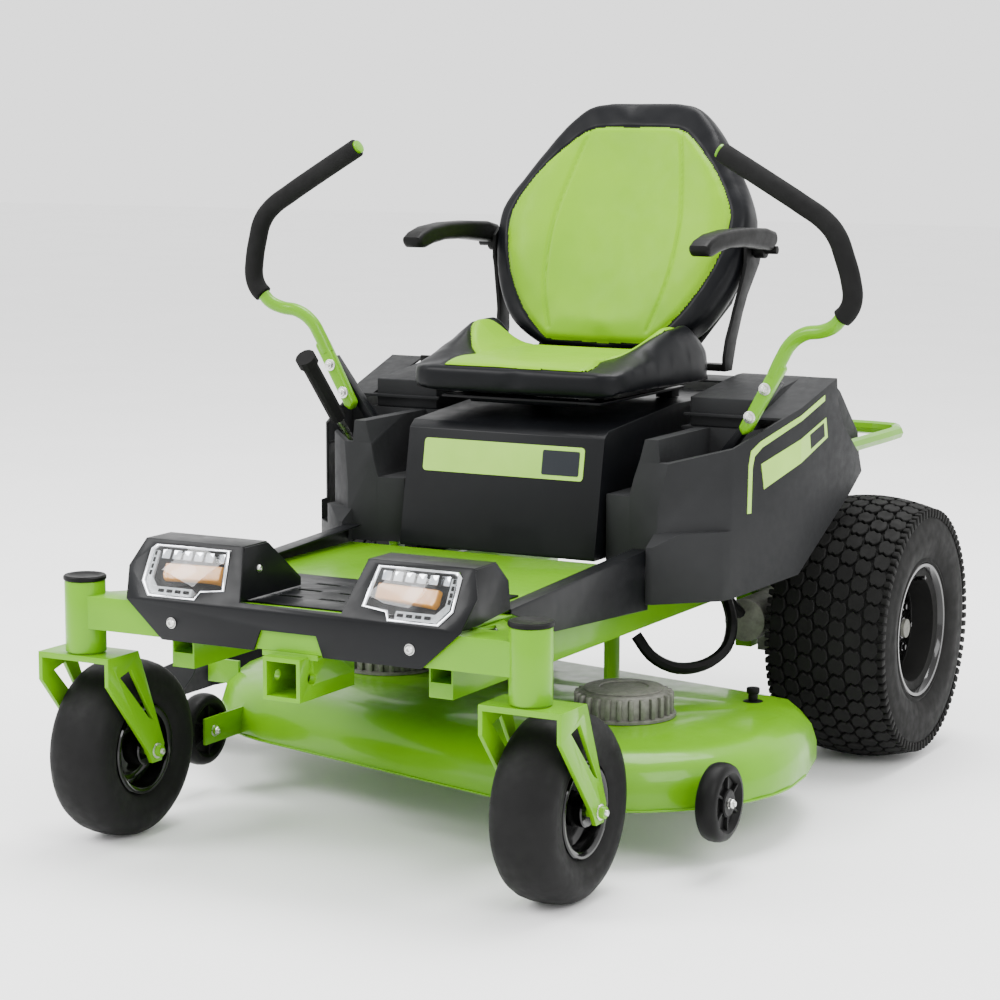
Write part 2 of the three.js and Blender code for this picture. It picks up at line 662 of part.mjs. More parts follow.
function gaugeArm([[x, y0], [, y1]]) {
  return block(x, x + 5, Math.min(y0, y1), Math.max(y0, y1), GAUGE_HEIGHT - 20, GAUGE_HEIGHT + 24);
}

function gaugeWheel() {
  const half = GAUGE_WIDTH / 2;
  return turned([
    [7.6, half], [24, half], [28, half - 5], [44, half - 5], [52, half], [GAUGE_RADIUS, 8],
    [GAUGE_RADIUS, -8], [52, -half], [7.6, -half],
  ], 'x', 20);
}

function bladeMotor() {
  const fins = 18;
  const star = [];
  for (let i = 0; i < fins; i += 1) {
    for (const [step, radius] of [[0, 81], [0.4, 81], [0.5, 76], [0.9, 76]]) {
      const angle = ((i + step) / fins) * 2 * Math.PI;
      star.push([radius * Math.cos(angle), radius * Math.sin(angle)]);
    }
  }
  const body = prismZ(star, 3, 38);
  const lid = turned([[0, 36], [74, 36], [74, 41], [66, 45], [0, 45]], 'z', 24);
  const shaft = bar('z', 12, 66, 0, 0, -28, 12);
  const foot = bar('z', 84, 4 - FIT, 0, 0, FIT + (4 - FIT) / 2, 24);
  return join(body, lid, shaft, foot);
}

function blade() {
  const [z0, z1] = [0, 5];
  const reach = BLADE_RADIUS;
  const bar1 = prismZ([
    [-reach, -20], [-reach + 6, -30], [reach - 90, -30], [reach, -30], [reach, 20], [reach - 6, 30],
    [90 - reach, 30], [-reach, 30],
  ], z0, z1);
  const wing = block(reach - 90, reach - 2, 22, 30, z1 - 1, z1 + 12);
  const farWing = block(2 - reach, 90 - reach, -30, -22, z1 - 1, z1 + 12);
  const hub = bar('z', 30, 12, 0, 0, 2, 14);
  return cut(join(bar1, wing, farWing, hub), bar('z', 12.8, 30, 0, 0, 8, 12));
}

function dischargeChute() {
  const top = [[-549.5, 176], [-600, 172], [-650, 150], [-684, 112], [-690, 76]];
  const bottom = [[-686, 76], [-680, 110], [-647, 146], [-599, 168], [-549.5, 172]];
  const hood = prismY([...top, ...bottom], -640, -400);
  const end = prismY([...top, [-600, 100], [-562, 150]], -640, -636);
  const farEnd = prismY([...top, [-600, 100], [-562, 150]], -404, -400);
  return join(hood, end, farEnd);
}

// ---------- deck lift ----------
function liftLever() {
  const link = prismX([
    [LIFT_PIVOT[0] - 14, LIFT_PIVOT[1] - 12], [LIFT_PIVOT[0] + 14, LIFT_PIVOT[1] - 12], [-420, 520],
    [-424, 548], [-446, 548], [-452, 500],
  ], LIFT_X - 4, LIFT_X + 4);
  const rod = tubeAlong([
    [LIFT_X, -436, 524], [LIFT_X, -433, 545], [LIFT_X, -440, 562], [LIFT_X, -474, 598],
  ], 7, 8, 10);
  return cut(join(link, rod), bar('x', 8.5, 40, LIFT_X, LIFT_PIVOT[0], LIFT_PIVOT[1], 12));
}

function liftGrip() {
  const grip = tubeAlong([[LIFT_X, -474.4, 598.5], [LIFT_X, -520, 649], [LIFT_X, -572, 706]], 14, 4, 12);
  const cap = tubeAlong([[LIFT_X, -566, 699.5], [LIFT_X, -577, 711.5]], 18, 1, 12);
  return join(grip, cap);
}

// ---------- controls and cable ----------
function turnKnob(radius, height) {
  const stem = bar('z', radius * 0.4, 6, 0, 0, 3, 10);
  const head = bar('z', radius, height, 0, 0, 4 + height / 2, 16);
  return join(stem, head, block(-radius, radius, -2.5, 2.5, 3 + height, 10 + height));
}

function motorCable() {
  return tubeAlong([
    [214, -476, 270], [240, -470, 236], [270, -440, 214], [300, -385, 214], [318, -345, 236], [316, -318, 270],
    [296, -290, 300], [272, -258, 312], [276, -225, 286], [283, -206, 268],
  ], 10, 30, 8);
}

// ---------- assembly ----------
add('front_axle_beam', frontAxleBeam(), GREEN);
add('receiver_hitch', receiverHitch(), GREEN);
add('main_frame', mainFrame(), GREEN);
add('rear_bumper', rearBumper(), GREEN);
add('floor_pan', floorPan(), GREEN);
add('foot_plate', footPlate(), BLACK_PAINT);
addPair('foot_panel', footPanel(), BLACK_PAINT);
add('front_cover', frontCover(), BLACK_PAINT);
addPair('headlight', headlight(), LENS);
add('battery_box', batteryBox(), BLACK_PAINT);
add('battery_pack', block(-150, 150, -515, -230, 408.5, 585), BLACK_PLASTIC);
add('motor_controller', block(-110, 110, -205, -120, 408.5, 470), CAST_GREY);
add('left_fender', fender(), DARK_PLASTIC);
add('right_fender', rightFender(), DARK_PLASTIC);
addPair('side_console', sideConsole(), DARK_PLASTIC);
add('rear_cover', rearCover(), DARK_PLASTIC);
addPair('drive_motor', driveMotor(), CAST_GREY);
add('motor_cable', motorCable(), BLACK_PLASTIC);

for (const [side, name] of [[1, 'left'], [-1, 'right']]) {
  const flip = side > 0 ? (geometry) => geometry : mirrored;
  const wheelPlace = [side * REAR_TRACK, 0, REAR_RADIUS];
  add(`${name}_rear_tyre`, rearTyre(), TYRE, wheelPlace);
  add(`${name}_rear_rim`, flip(rearRim()), RIM_PAINT, wheelPlace);
  const casterPlace = [side * CASTER_TRACK, CASTER_AXLE_Y, CASTER_RADIUS];
  add(`${name}_caster_fork`, flip(casterFork()), GREEN);
  add(`${name}_caster_tyre`, casterTyre(), TYRE, casterPlace);
  add(`${name}_caster_rim`, flip(casterRim()), RIM_PAINT, casterPlace);
}

add('seat_plate', seatPlate(), BLACK_PAINT);
add('seat_shell', seatShell(), BLACK_PLASTIC);
add('seat_cushion', seatCushion(), VINYL_BLACK);
add('seat_back', seatBack(), VINYL_GREEN);
addPair('armrest', armrest(), BLACK_PLASTIC);

addPair('lever_pivot', leverPivot(), BLACK_PAINT);
addPair('lever_arm', leverArm(), BLACK_PAINT);
addPair('lever_tube', leverTube(), GREEN);
addPair('lever_grip', leverGrip(), FOAM);

add('deck_shell', deckShell(), GREEN);
add('discharge_chute', dischargeChute(), DARK_PLASTIC);
for (const [index, name] of [[0, 'left'], [1, 'right']]) {
  const [x, y] = LOBES[index];
  const [wheelX, wheelY] = GAUGE_WHEELS[index];
  add(`${name}_blade_motor`, bladeMotor(), CAST_GREY, [x, y, DECK_HIGH]);
  add(`${name}_blade`, blade(), STEEL, [x, y, BLADE_LOW]);
  add(`${name}_gauge_wheel`, gaugeWheel(), BLACK_PLASTIC, [wheelX, wheelY, GAUGE_HEIGHT]);
}

add('lift_lever', liftLever(), STEEL);
add('lift_grip', liftGrip(), FOAM);
add('start_key', turnKnob(9, 10), BLACK_PLASTIC, [-330, -230, 668.7]);
add('blade_knob', turnKnob(16, 14), BLACK_PLASTIC, [-290, -255, 666]);

export default mower;
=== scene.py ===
import json
import math

import bpy
from mathutils import Matrix, Vector


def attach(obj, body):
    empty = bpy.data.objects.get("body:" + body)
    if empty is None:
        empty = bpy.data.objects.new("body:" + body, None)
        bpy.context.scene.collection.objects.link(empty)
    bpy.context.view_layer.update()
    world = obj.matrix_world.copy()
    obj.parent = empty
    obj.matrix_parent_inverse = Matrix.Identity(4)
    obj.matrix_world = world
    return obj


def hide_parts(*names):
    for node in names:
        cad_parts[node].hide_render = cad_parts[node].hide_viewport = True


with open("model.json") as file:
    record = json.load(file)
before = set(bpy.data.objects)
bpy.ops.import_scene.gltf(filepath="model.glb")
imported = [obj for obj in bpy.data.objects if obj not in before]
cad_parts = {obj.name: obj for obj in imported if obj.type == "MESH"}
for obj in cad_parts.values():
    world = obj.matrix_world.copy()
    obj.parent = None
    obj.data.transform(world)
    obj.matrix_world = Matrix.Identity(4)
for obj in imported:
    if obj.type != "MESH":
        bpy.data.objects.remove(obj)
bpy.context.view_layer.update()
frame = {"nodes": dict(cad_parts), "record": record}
nodes = frame["nodes"]

# sizes below are in mm from the middle of the rear axle, on the ground, with -Y to the front
machine = {"shiftX": 51, "shiftY": 400}


def at(x, y, z):
    return Vector(((x + machine["shiftX"]) / 1000, (y + machine["shiftY"]) / 1000, z / 1000))


# camera
view = {"place": (2161.8, -4508.7, 1147.6), "turn": 28.66, "drop": 8.30, "roll": 0.10,
        "lens": 99.3, "sensor": 36, "farthest": 60}


def setCamera():
    data = bpy.data.cameras.new("camera")
    data.lens = view["lens"]
    data.sensor_width = view["sensor"]
    data.clip_end = view["farthest"]
    camera = bpy.data.objects.new("camera", data)
    bpy.context.scene.collection.objects.link(camera)
    camera.location = at(*view["place"])
    turn = Matrix.Rotation(math.radians(view["turn"]), 4, "Z")
    tilt = Matrix.Rotation(math.radians(90 - view["drop"]), 4, "X")
    roll = Matrix.Rotation(math.radians(view["roll"]), 4, "Z")
    camera.rotation_euler = (turn @ tilt @ roll).to_euler()
    bpy.context.scene.camera = camera


# working helpers
weldGap = 0.00002


def deselectAll():
    if bpy.context.object and bpy.context.object.mode != "OBJECT":
        bpy.ops.object.mode_set(mode="OBJECT")
    bpy.ops.object.select_all(action="DESELECT")


def only(piece):
    deselectAll()
    piece.select_set(True)
    bpy.context.view_layer.objects.active = piece


def edit(piece):
    only(piece)
    bpy.ops.object.mode_set(mode="EDIT")
    bpy.ops.mesh.select_mode(type="VERT")
    bpy.ops.mesh.select_all(action="SELECT")


# faces picked by a test on each one are taken away
def deleteFaces(piece, test):
    for face in piece.data.polygons:
        face.select = test(face)
    only(piece)
    bpy.ops.object.mode_set(mode="EDIT")
    bpy.ops.mesh.select_mode(type="FACE")
    bpy.ops.mesh.delete(type="FACE")
    bpy.ops.mesh.select_mode(type="VERT")
    return leaveEdit()


def leaveEdit():
    bpy.ops.object.mode_set(mode="OBJECT")
    return bpy.context.object


def settle(piece):
    only(piece)
    bpy.ops.object.transform_apply(location=True, rotation=True, scale=True)
    return piece


def modify(piece, kind, **values):
    only(piece)
    bpy.ops.object.modifier_add(type=kind)
    modifier = piece.modifiers[-1]
    for key, value in values.items():
        setattr(modifier, key, value)
    bpy.ops.object.modifier_apply(modifier=modifier.name)
    return piece


def roundEdges(piece, width, segments=2, angle=40):
    return modify(piece, "BEVEL", width=width / 1000, segments=segments, limit_method="ANGLE",
                  angle_limit=math.radians(angle))


def smooth(piece, angle=35):
    only(piece)
    bpy.ops.object.shade_smooth_by_angle(angle=math.radians(angle))
    return piece


def box(low, high, edge=0):
    start, end = at(*low), at(*high)
    deselectAll()
    bpy.ops.mesh.primitive_cube_add(size=1, location=(start + end) / 2)
    piece = bpy.context.object
    piece.scale = end - start
    settle(piece)
    return roundEdges(piece, edge) if edge else piece


def rod(start, end, radius, sides=24, edge=0, far=None):
    start, end = at(*start), at(*end)
    way = end - start
    deselectAll()
    bpy.ops.mesh.primitive_cone_add(
        vertices=sides, radius1=radius / 1000, radius2=(radius if far is None else far) / 1000,
        depth=way.length, location=(start + end) / 2, rotation=way.to_track_quat("Z", "Y").to_euler())
    piece = settle(bpy.context.object)
    return roundEdges(piece, edge, 2, 60) if edge else piece


# a flat face drawn corner by corner
def traced(places):
    deselectAll()
    bpy.ops.mesh.primitive_plane_add(size=0.01, location=(0, 0, 0))
    bpy.ops.object.mode_set(mode="EDIT")
    bpy.ops.mesh.select_mode(type="VERT")
    bpy.ops.mesh.select_all(action="SELECT")
    bpy.ops.mesh.merge(type="CENTER")
    bpy.ops.transform.translate(value=places[0])
    for before, after in zip(places, places[1:]):
        bpy.ops.mesh.extrude_vertices_move(TRANSFORM_OT_translate={"value": after - before})
    bpy.ops.mesh.select_all(action="SELECT")
    bpy.ops.mesh.edge_face_add()
    return leaveEdit()


# an outline given its depth
def extruded(places, depth):
    piece = traced(places)
    edit(piece)
    bpy.ops.mesh.extrude_region_move(TRANSFORM_OT_translate={"value": depth})
    bpy.ops.mesh.select_all(action="SELECT")
    bpy.ops.mesh.normals_make_consistent(inside=False)
    return leaveEdit()


axes = {"x": Vector((1, 0, 0)), "z": Vector((0, 0, 1))}
outward = {"x": Vector((0, 0, 1)), "z": Vector((1, 0, 0))}


# a closed profile of (radius, along) turned about an axis
def spun(profile, centre, axis="x", steps=72):
    middle = at(*centre)
    along, out = axes[axis], outward[axis]
    piece = traced([middle + along * (a / 1000) + out * (r / 1000) for r, a in profile])
    edit(piece)
    bpy.ops.mesh.delete(type="ONLY_FACE")
    bpy.ops.mesh.select_all(action="SELECT")
    bpy.ops.mesh.spin(steps=steps, angle=2 * math.pi, center=middle, axis=along)
    bpy.ops.mesh.select_all(action="SELECT")
    bpy.ops.mesh.remove_doubles(threshold=weldGap)
    bpy.ops.mesh.normals_make_consistent(inside=False)
    return leaveEdit()


# a round tube along a smooth path
def tube(places, radius, sides, steps):
    curve = bpy.data.curves.new("tube", "CURVE")
    curve.dimensions = "3D"
    curve.bevel_depth = radius / 1000
    curve.bevel_resolution = max(1, sides // 4 - 1)
    curve.use_fill_caps = True
    curve.resolution_u = steps
    spline = curve.splines.new("BEZIER")
    spline.bezier_points.add(len(places) - 1)
    for point, place in zip(spline.bezier_points, places):
        point.co = at(*place)
        point.handle_left_type = point.handle_right_type = "AUTO"
    piece = bpy.data.objects.new("tube", curve)
    bpy.context.scene.collection.objects.link(piece)
    only(piece)
    bpy.ops.object.convert(target="MESH")
    piece = bpy.context.object
    edit(piece)
    bpy.ops.mesh.remove_doubles(threshold=weldGap)
    bpy.ops.mesh.normals_make_consistent(inside=False)
    return leaveEdit()


def joined(parts):
    deselectAll()
    for part in parts:
        part.select_set(True)
    bpy.context.view_layer.objects.active = parts[0]
    if len(parts) > 1:
        bpy.ops.object.join()
    return bpy.context.object


def cutAway(piece, tool):
    modify(piece, "BOOLEAN", operation="DIFFERENCE", object=tool, solver="EXACT")
    bpy.data.objects.remove(tool)
    return piece


# a copy with its own mesh, moved by a matrix
def copied(piece, change=None):
    twin = bpy.data.objects.new(piece.name, piece.data.copy())
    bpy.context.scene.collection.objects.link(twin)
    if change is not None:
        twin.data.transform(change)
    return twin


def present(piece, name, material, body, replaces=()):
    piece.name = name
    piece.data.name = name
    piece.data.materials.clear()
    piece.data.materials.append(finishes[material])
    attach(piece, body)
    if replaces:
        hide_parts(*replaces)
    return piece


# finishes: every pattern is read between the same two levels
patternLow, patternHigh = 0.3, 0.7


def newFinish(name, **sockets):
    material = bpy.data.materials.new(name)
    material.use_nodes = True
    shader = material.node_tree.nodes["Principled BSDF"]
    for socket, value in sockets.items():
        shader.inputs[socket.replace("_", " ")].default_value = value
    return material


def noise(material, scale, detail=3.0, roughness=0.5):
    tree = material.node_tree
    place = tree.nodes.new("ShaderNodeTexCoord")
    pattern = tree.nodes.new("ShaderNodeTexNoise")
    pattern.inputs["Scale"].default_value = scale
    pattern.inputs["Detail"].default_value = detail
    pattern.inputs["Roughness"].default_value = roughness
    tree.links.new(place.outputs["Object"], pattern.inputs["Vector"])
    return pattern.outputs["Fac"]


def cells(material, scale):
    tree = material.node_tree
    place = tree.nodes.new("ShaderNodeTexCoord")
    pattern = tree.nodes.new("ShaderNodeTexVoronoi")
    pattern.feature = "DISTANCE_TO_EDGE"
    pattern.inputs["Scale"].default_value = scale
    tree.links.new(place.outputs["Object"], pattern.inputs["Vector"])
    return pattern.outputs["Distance"]


def colourBy(material, pattern, dark, light):
    tree = material.node_tree
    ramp = tree.nodes.new("ShaderNodeValToRGB")
    ramp.color_ramp.elements[0].position = patternLow
    ramp.color_ramp.elements[0].color = (*dark, 1)
    ramp.color_ramp.elements[1].position = patternHigh
    ramp.color_ramp.elements[1].color = (*light, 1)
    tree.links.new(pattern, ramp.inputs["Fac"])
    tree.links.new(ramp.outputs["Color"], tree.nodes["Principled BSDF"].inputs["Base Color"])


def roughBy(material, pattern, low, high):
    tree = material.node_tree
    spread = tree.nodes.new("ShaderNodeMapRange")
    spread.inputs["From Min"].default_value = patternLow
    spread.inputs["From Max"].default_value = patternHigh
    spread.inputs["To Min"].default_value = low
    spread.inputs["To Max"].default_value = high
    tree.links.new(pattern, spread.inputs["Value"])
    tree.links.new(spread.outputs["Result"], tree.nodes["Principled BSDF"].inputs["Roughness"])


def reliefBy(material, pattern, strength, height):
    tree = material.node_tree
    bump = tree.nodes.new("ShaderNodeBump")
    bump.inputs["Strength"].default_value = strength
    bump.inputs["Distance"].default_value = height
    socket = tree.nodes["Principled BSDF"].inputs["Normal"]
    if socket.is_linked:
        tree.links.new(socket.links[0].from_socket, bump.inputs["Normal"])
    tree.links.new(pattern, bump.inputs["Height"])
    tree.links.new(bump.outputs["Normal"], socket)


def powderCoat(name, dark, light, rough, coat):
    material = newFinish(name, Specular_IOR_Level=0.14, Coat_Weight=coat, Coat_Roughness=0.1)
    colourBy(material, noise(material, 6, 2), dark, light)
    roughBy(material, noise(material, 40, 3), *rough)
    reliefBy(material, noise(material, 700, 2), 0.06, 0.0003)
    return material


def mouldedPlastic(name, dark, light, rough, grain, depth):
    material = newFinish(name, Specular_IOR_Level=0.10)
    colourBy(material, noise(material, 8, 3), dark, light)
    roughBy(material, noise(material, 60, 3), *rough)
    reliefBy(material, noise(material, grain, 2, 0.6), depth, 0.0003)
    return material


def vinyl(name, dark, light, rough):
    material = newFinish(name, Specular_IOR_Level=0.12)
    colourBy(material, noise(material, 7, 3), dark, light)
    roughBy(material, noise(material, 35, 3), *rough)
    reliefBy(material, cells(material, 620), 0.10, 0.0004)
    reliefBy(material, noise(material, 1500, 2), 0.08, 0.0002)
    return material


def makeFinishes():
    made = {
        "lime": powderCoat("lime_powder_coat", (0.095, 0.27, 0.0), (0.11, 0.305, 0.0), (0.28, 0.38), 0.25),
        "black": powderCoat("black_powder_coat", (0.0022, 0.0024, 0.003), (0.0036, 0.004, 0.005),
                            (0.34, 0.44), 0.04),
        "graphite": powderCoat("graphite_face", (0.010, 0.012, 0.016), (0.014, 0.016, 0.021),
                               (0.34, 0.44), 0.08),
        "gloss": powderCoat("gloss_black_wheel", (0.0012, 0.0012, 0.0012), (0.002, 0.002, 0.002),
                            (0.12, 0.2), 0.5),
        "grey": mouldedPlastic("grey_moulding", (0.013, 0.0134, 0.0142), (0.018, 0.0184, 0.0192),
                               (0.50, 0.62), 900, 0.22),
        "plastic": mouldedPlastic("black_moulding", (0.003, 0.003, 0.003), (0.005, 0.005, 0.005),
                                  (0.40, 0.52), 900, 0.15),
        "blackVinyl": vinyl("black_vinyl", (0.0018, 0.002, 0.0028), (0.0032, 0.0035, 0.0045), (0.34, 0.44)),
        "limeVinyl": vinyl("lime_vinyl", (0.14, 0.32, 0.0), (0.165, 0.36, 0.0), (0.36, 0.46)),
        "foam": mouldedPlastic("foam_sleeve", (0.006, 0.006, 0.006), (0.010, 0.010, 0.010),
                               (0.75, 0.9), 480, 0.5),
        "tyre": mouldedPlastic("tyre_rubber", (0.005, 0.005, 0.0048), (0.009, 0.009, 0.0086),
                               (0.62, 0.78), 300, 0.3),
        "smoothTyre": mouldedPlastic("smooth_tyre_rubber", (0.004, 0.004, 0.004), (0.009, 0.009, 0.009),
                                     (0.5, 0.66), 240, 0.15),
    }
    cast = newFinish("cast_aluminium", Metallic=0.55)
    colourBy(cast, noise(cast, 90, 4, 0.6), (0.11, 0.11, 0.095), (0.18, 0.18, 0.155))
    roughBy(cast, noise(cast, 150, 3), 0.48, 0.66)
    reliefBy(cast, noise(cast, 650, 3, 0.6), 0.5, 0.0005)
    zinc = newFinish("zinc_plate", Metallic=1.0)
    colourBy(zinc, noise(zinc, 120, 3), (0.52, 0.52, 0.50), (0.72, 0.72, 0.70))
    roughBy(zinc, noise(zinc, 300, 3), 0.22, 0.38)
    reliefBy(zinc, noise(zinc, 900, 2), 0.08, 0.0002)
    chrome = newFinish("lamp_reflector", Metallic=1.0)
    colourBy(chrome, noise(chrome, 60, 2), (0.72, 0.73, 0.76), (0.86, 0.87, 0.9))
    roughBy(chrome, noise(chrome, 250, 2), 0.06, 0.16)
    # the weak amber emission is a painted glow, standing in for light that shines through the amber lens
    amber = newFinish("amber_bar", Coat_Weight=0.6, Emission_Strength=0.12,
                      Emission_Color=(0.95, 0.45, 0.02, 1))
    colourBy(amber, noise(amber, 180, 2), (0.62, 0.22, 0.001), (0.74, 0.30, 0.004))
    roughBy(amber, noise(amber, 300, 2), 0.15, 0.3)
    white = newFinish("white_light_guide", Coat_Weight=0.5)
    colourBy(white, noise(white, 90, 2), (0.62, 0.64, 0.66), (0.80, 0.82, 0.84))
    roughBy(white, noise(white, 200, 2), 0.15, 0.3)
    lens = newFinish("clear_lens", Transmission_Weight=1.0, IOR=1.45)
    colourBy(lens, noise(lens, 30, 2), (0.93, 0.95, 0.96), (0.98, 0.99, 1.0))
    roughBy(lens, noise(lens, 60, 2), 0.01, 0.04)
    film = newFinish("lime_film", Coat_Weight=0.3)
    colourBy(film, noise(film, 14, 2), (0.26, 0.50, 0.035), (0.30, 0.55, 0.05))
    roughBy(film, noise(film, 80, 2), 0.28, 0.4)
    made.update(cast=cast, zinc=zinc, chrome=chrome, amber=amber, white=white, lens=lens, film=film)
    return made


finishOf = {
    "green_paint": "lime", "black_paint": "black", "grey_plastic": "grey", "black_plastic": "plastic",
    "tyre_rubber": "tyre", "rim_paint": "gloss", "black_vinyl": "blackVinyl", "green_vinyl": "limeVinyl",
    "foam_grip": "foam", "cast_aluminium": "cast", "bare_steel": "zinc", "lamp_lens": "lens",
}

setCamera()
finishes = makeFinishes()
print("finishes made:", len(finishes))

bodyOf = {node: body for body, members in frame["record"]["behaviour"]["bodies"].items() for node in members}
slotOfNode = {part["node"]: part["material_slot"] for part in frame["record"]["subparts"]}

for node, piece in nodes.items():
    piece.data.materials.clear()
    piece.data.materials.append(finishes[finishOf[slotOfNode[node]]])


# pressed and moulded parts: the frame's own shape with its edges rounded
softened = {
    "front_axle_beam": 2.2, "receiver_hitch": 1.6, "main_frame": 1.5, "floor_pan": 1.0, "foot_plate": 1.0,
    "left_foot_panel": 0.9, "right_foot_panel": 0.9, "front_cover": 0.9, "battery_box": 1.0,
    "left_fender": 2.2, "right_fender": 2.2, "left_side_console": 3.5, "right_side_console": 3.5,
    "rear_cover": 1.6, "left_drive_motor": 2.5, "right_drive_motor": 2.5, "left_caster_fork": 1.6,
    "right_caster_fork": 1.6, "seat_plate": 1.0,
    "left_lever_pivot": 1.2, "right_lever_pivot": 1.2, "left_lever_arm": 1.5, "right_lever_arm": 1.5,
    "discharge_chute": 1.4, "lift_lever": 1.2, "seat_shell": 1.4, "left_blade": 0.8, "right_blade": 0.8,
    "battery_pack": 6.0, "motor_controller": 2.0, "start_key": 0.8, "blade_knob": 0.8,
}


softening = {"weld": 0.00003, "flatAngle": 0.6, "sharpAngle": 38, "shadeAngle": 36}


def softenedCopy(node, width):
    twin = copied(nodes[node])
    edit(twin)
    bpy.ops.mesh.remove_doubles(threshold=softening["weld"])
    bpy.ops.mesh.dissolve_limited(angle_limit=math.radians(softening["flatAngle"]))
    leaveEdit()
    roundEdges(twin, width, 2, softening["sharpAngle"])
    return smooth(twin, softening["shadeAngle"])


for node, width in softened.items():
    piece = softenedCopy(node, width)
    present(piece, node + "_finished", finishOf[slotOfNode[node]], bodyOf[node], [node])
print("edges rounded on", len(softened), "parts")


# bolts
hexBolt = {"across": 6.5, "head": 5.0, "washer": 9.0, "thick": 1.5, "edge": 0.6}
buttonBolt = {"radius": 8.0, "head": 4.5, "socket": 3.0}


def hexHead(place, way, size=1.0):
    way = Vector(way).normalized()
    step = lambda d: tuple(Vector(place) + way * d * size)
    washer = rod(step(0), step(hexBolt["thick"]), hexBolt["washer"] * size, 24, 0.4 * size)
    head = rod(step(hexBolt["thick"]), step(hexBolt["thick"] + hexBolt["head"]), hexBolt["across"] * size, 6,
               hexBolt["edge"] * size)
    stud = rod(step(hexBolt["thick"]), step(hexBolt["thick"] + hexBolt["head"] + 3), 3.4 * size, 16, 0.4 * size)
    return [washer, head, stud]


def buttonHead(place, way, size=1.0):
    way = Vector(way).normalized()
    step = lambda d: tuple(Vector(place) + way * d * size)
    skirt = rod(step(0), step(1.4), buttonBolt["radius"] * size, 28, 0.5 * size)
    dome = rod(step(1.4), step(buttonBolt["head"]), buttonBolt["radius"] * 0.94 * size, 28, 1.2 * size,
               buttonBolt["radius"] * 0.62 * size)
    socket = rod(step(buttonBolt["head"] - 2), step(buttonBolt["head"] + 1), buttonBolt["socket"] * size, 6)
    return [skirt, cutAway(dome, socket)]


def boltSet(name, parts, body, material="zinc"):
    return present(smooth(joined(parts), 40), name, material, body)


# rear tyres: a rounded carcass with rows of wavy turf blocks
rearTyre = {"radius": 229.0, "blockHigh": 6.5, "crown": 0.0016, "rows": 44, "columns": 7,
            "reach": 84.0, "blockWide": 16.6, "blockLong": 17.4, "track": 438, "axle": 229}


def crownAt(x):
    return rearTyre["radius"] - rearTyre["crown"] * x * x


def tyreCarcass():
    low = rearTyre["blockHigh"]
    side = [(92, 87), (110, 91), (116, 96), (121, 101), (126, 99), (130, 102), (148, 107), (162, 109),
            (166, 108), (180, 108.5), (194, 106), (205, 102)]
    crown = [(crownAt(x) - low, x) for x in (97, 90, 76, 60, 42, 22)]
    half = side + crown
    profile = half + [(crownAt(0) - low, 0)] + [(r, -x) for r, x in reversed(half)]
    return spun(profile, (0, 0, 0), "x", 120)


def turfBlock():
    corners = [(0.80, 0.42), (0.52, 0.80), (0.20, 0.66), (-0.20, 0.90), (-0.52, 0.74), (-0.86, 0.30),
               (-0.80, -0.42), (-0.52, -0.80), (-0.20, -0.66), (0.20, -0.90), (0.52, -0.74), (0.86, -0.30)]
    high = rearTyre["blockHigh"] / 1000 + 0.002
    wide, long = rearTyre["blockWide"] / 1000, rearTyre["blockLong"] / 1000
    places = [Vector((x * wide, y * long, -high / 2)) for x, y in corners]
    block = extruded(places, (0, 0, high))
    edit(block)
    bpy.ops.mesh.select_all(action="DESELECT")  # corners left picked would pick every face again
    leaveEdit()
    deleteFaces(block, lambda face: face.normal.z < -0.9)
    return roundEdges(block, 1.3, 1, 60)


def tread():
    block = turfBlock()
    blocks = []
    pitch = 2 * rearTyre["reach"] / (rearTyre["columns"] - 1)
    for column in range(rearTyre["columns"]):
        x = -rearTyre["reach"] + column * pitch
        lean = math.atan(2 * rearTyre["crown"] * x)
        height = crownAt(x) - rearTyre["blockHigh"] / 2 - 1
        for row in range(rearTyre["rows"]):
            angle = 2 * math.pi * (row + 0.5 * (column % 2)) / rearTyre["rows"]
            change = (Matrix.Translation(at(0, 0, 0)) @ Matrix.Rotation(angle, 4, "X")
                      @ Matrix.Translation((x / 1000, 0, height / 1000)) @ Matrix.Rotation(lean, 4, "Y"))
            blocks.append(copied(block, change))
    blocks += shoulderLugs()
    bpy.data.objects.remove(block)
    return blocks


def shoulderLugs():
    lug = box((96, -5, 197), (107.5, 5, 213), 2.0)
    lug.data.transform(Matrix.Translation(-at(0, 0, 0)))
    lugs = []
    for side in (-1, 1):
        for row in range(rearTyre["rows"] * 2):
            angle = 2 * math.pi * (row + 0.5) / (rearTyre["rows"] * 2)
            turned = Matrix.Rotation(angle, 4, "X")
            if side < 0:
                turned = turned @ Matrix.Rotation(math.pi, 4, "Z")
            lugs.append(copied(lug, Matrix.Translation(at(0, 0, 0)) @ turned))
    bpy.data.objects.remove(lug)
    return lugs


def makeRearTyres():
    master = smooth(joined([tyreCarcass()] + tread()), 32)
    for side, name in ((1, "left"), (-1, "right")):
        change = Matrix.Translation((side * rearTyre["track"] / 1000, 0, rearTyre["axle"] / 1000))
        present(copied(master, change), name + "_turf_tyre", "tyre", name + "_drive_wheel",
                [name + "_rear_tyre"])
    bpy.data.objects.remove(master)


# rear rims
rearRim = {"lugs": 5, "lugCircle": 38, "lugFoot": 42}


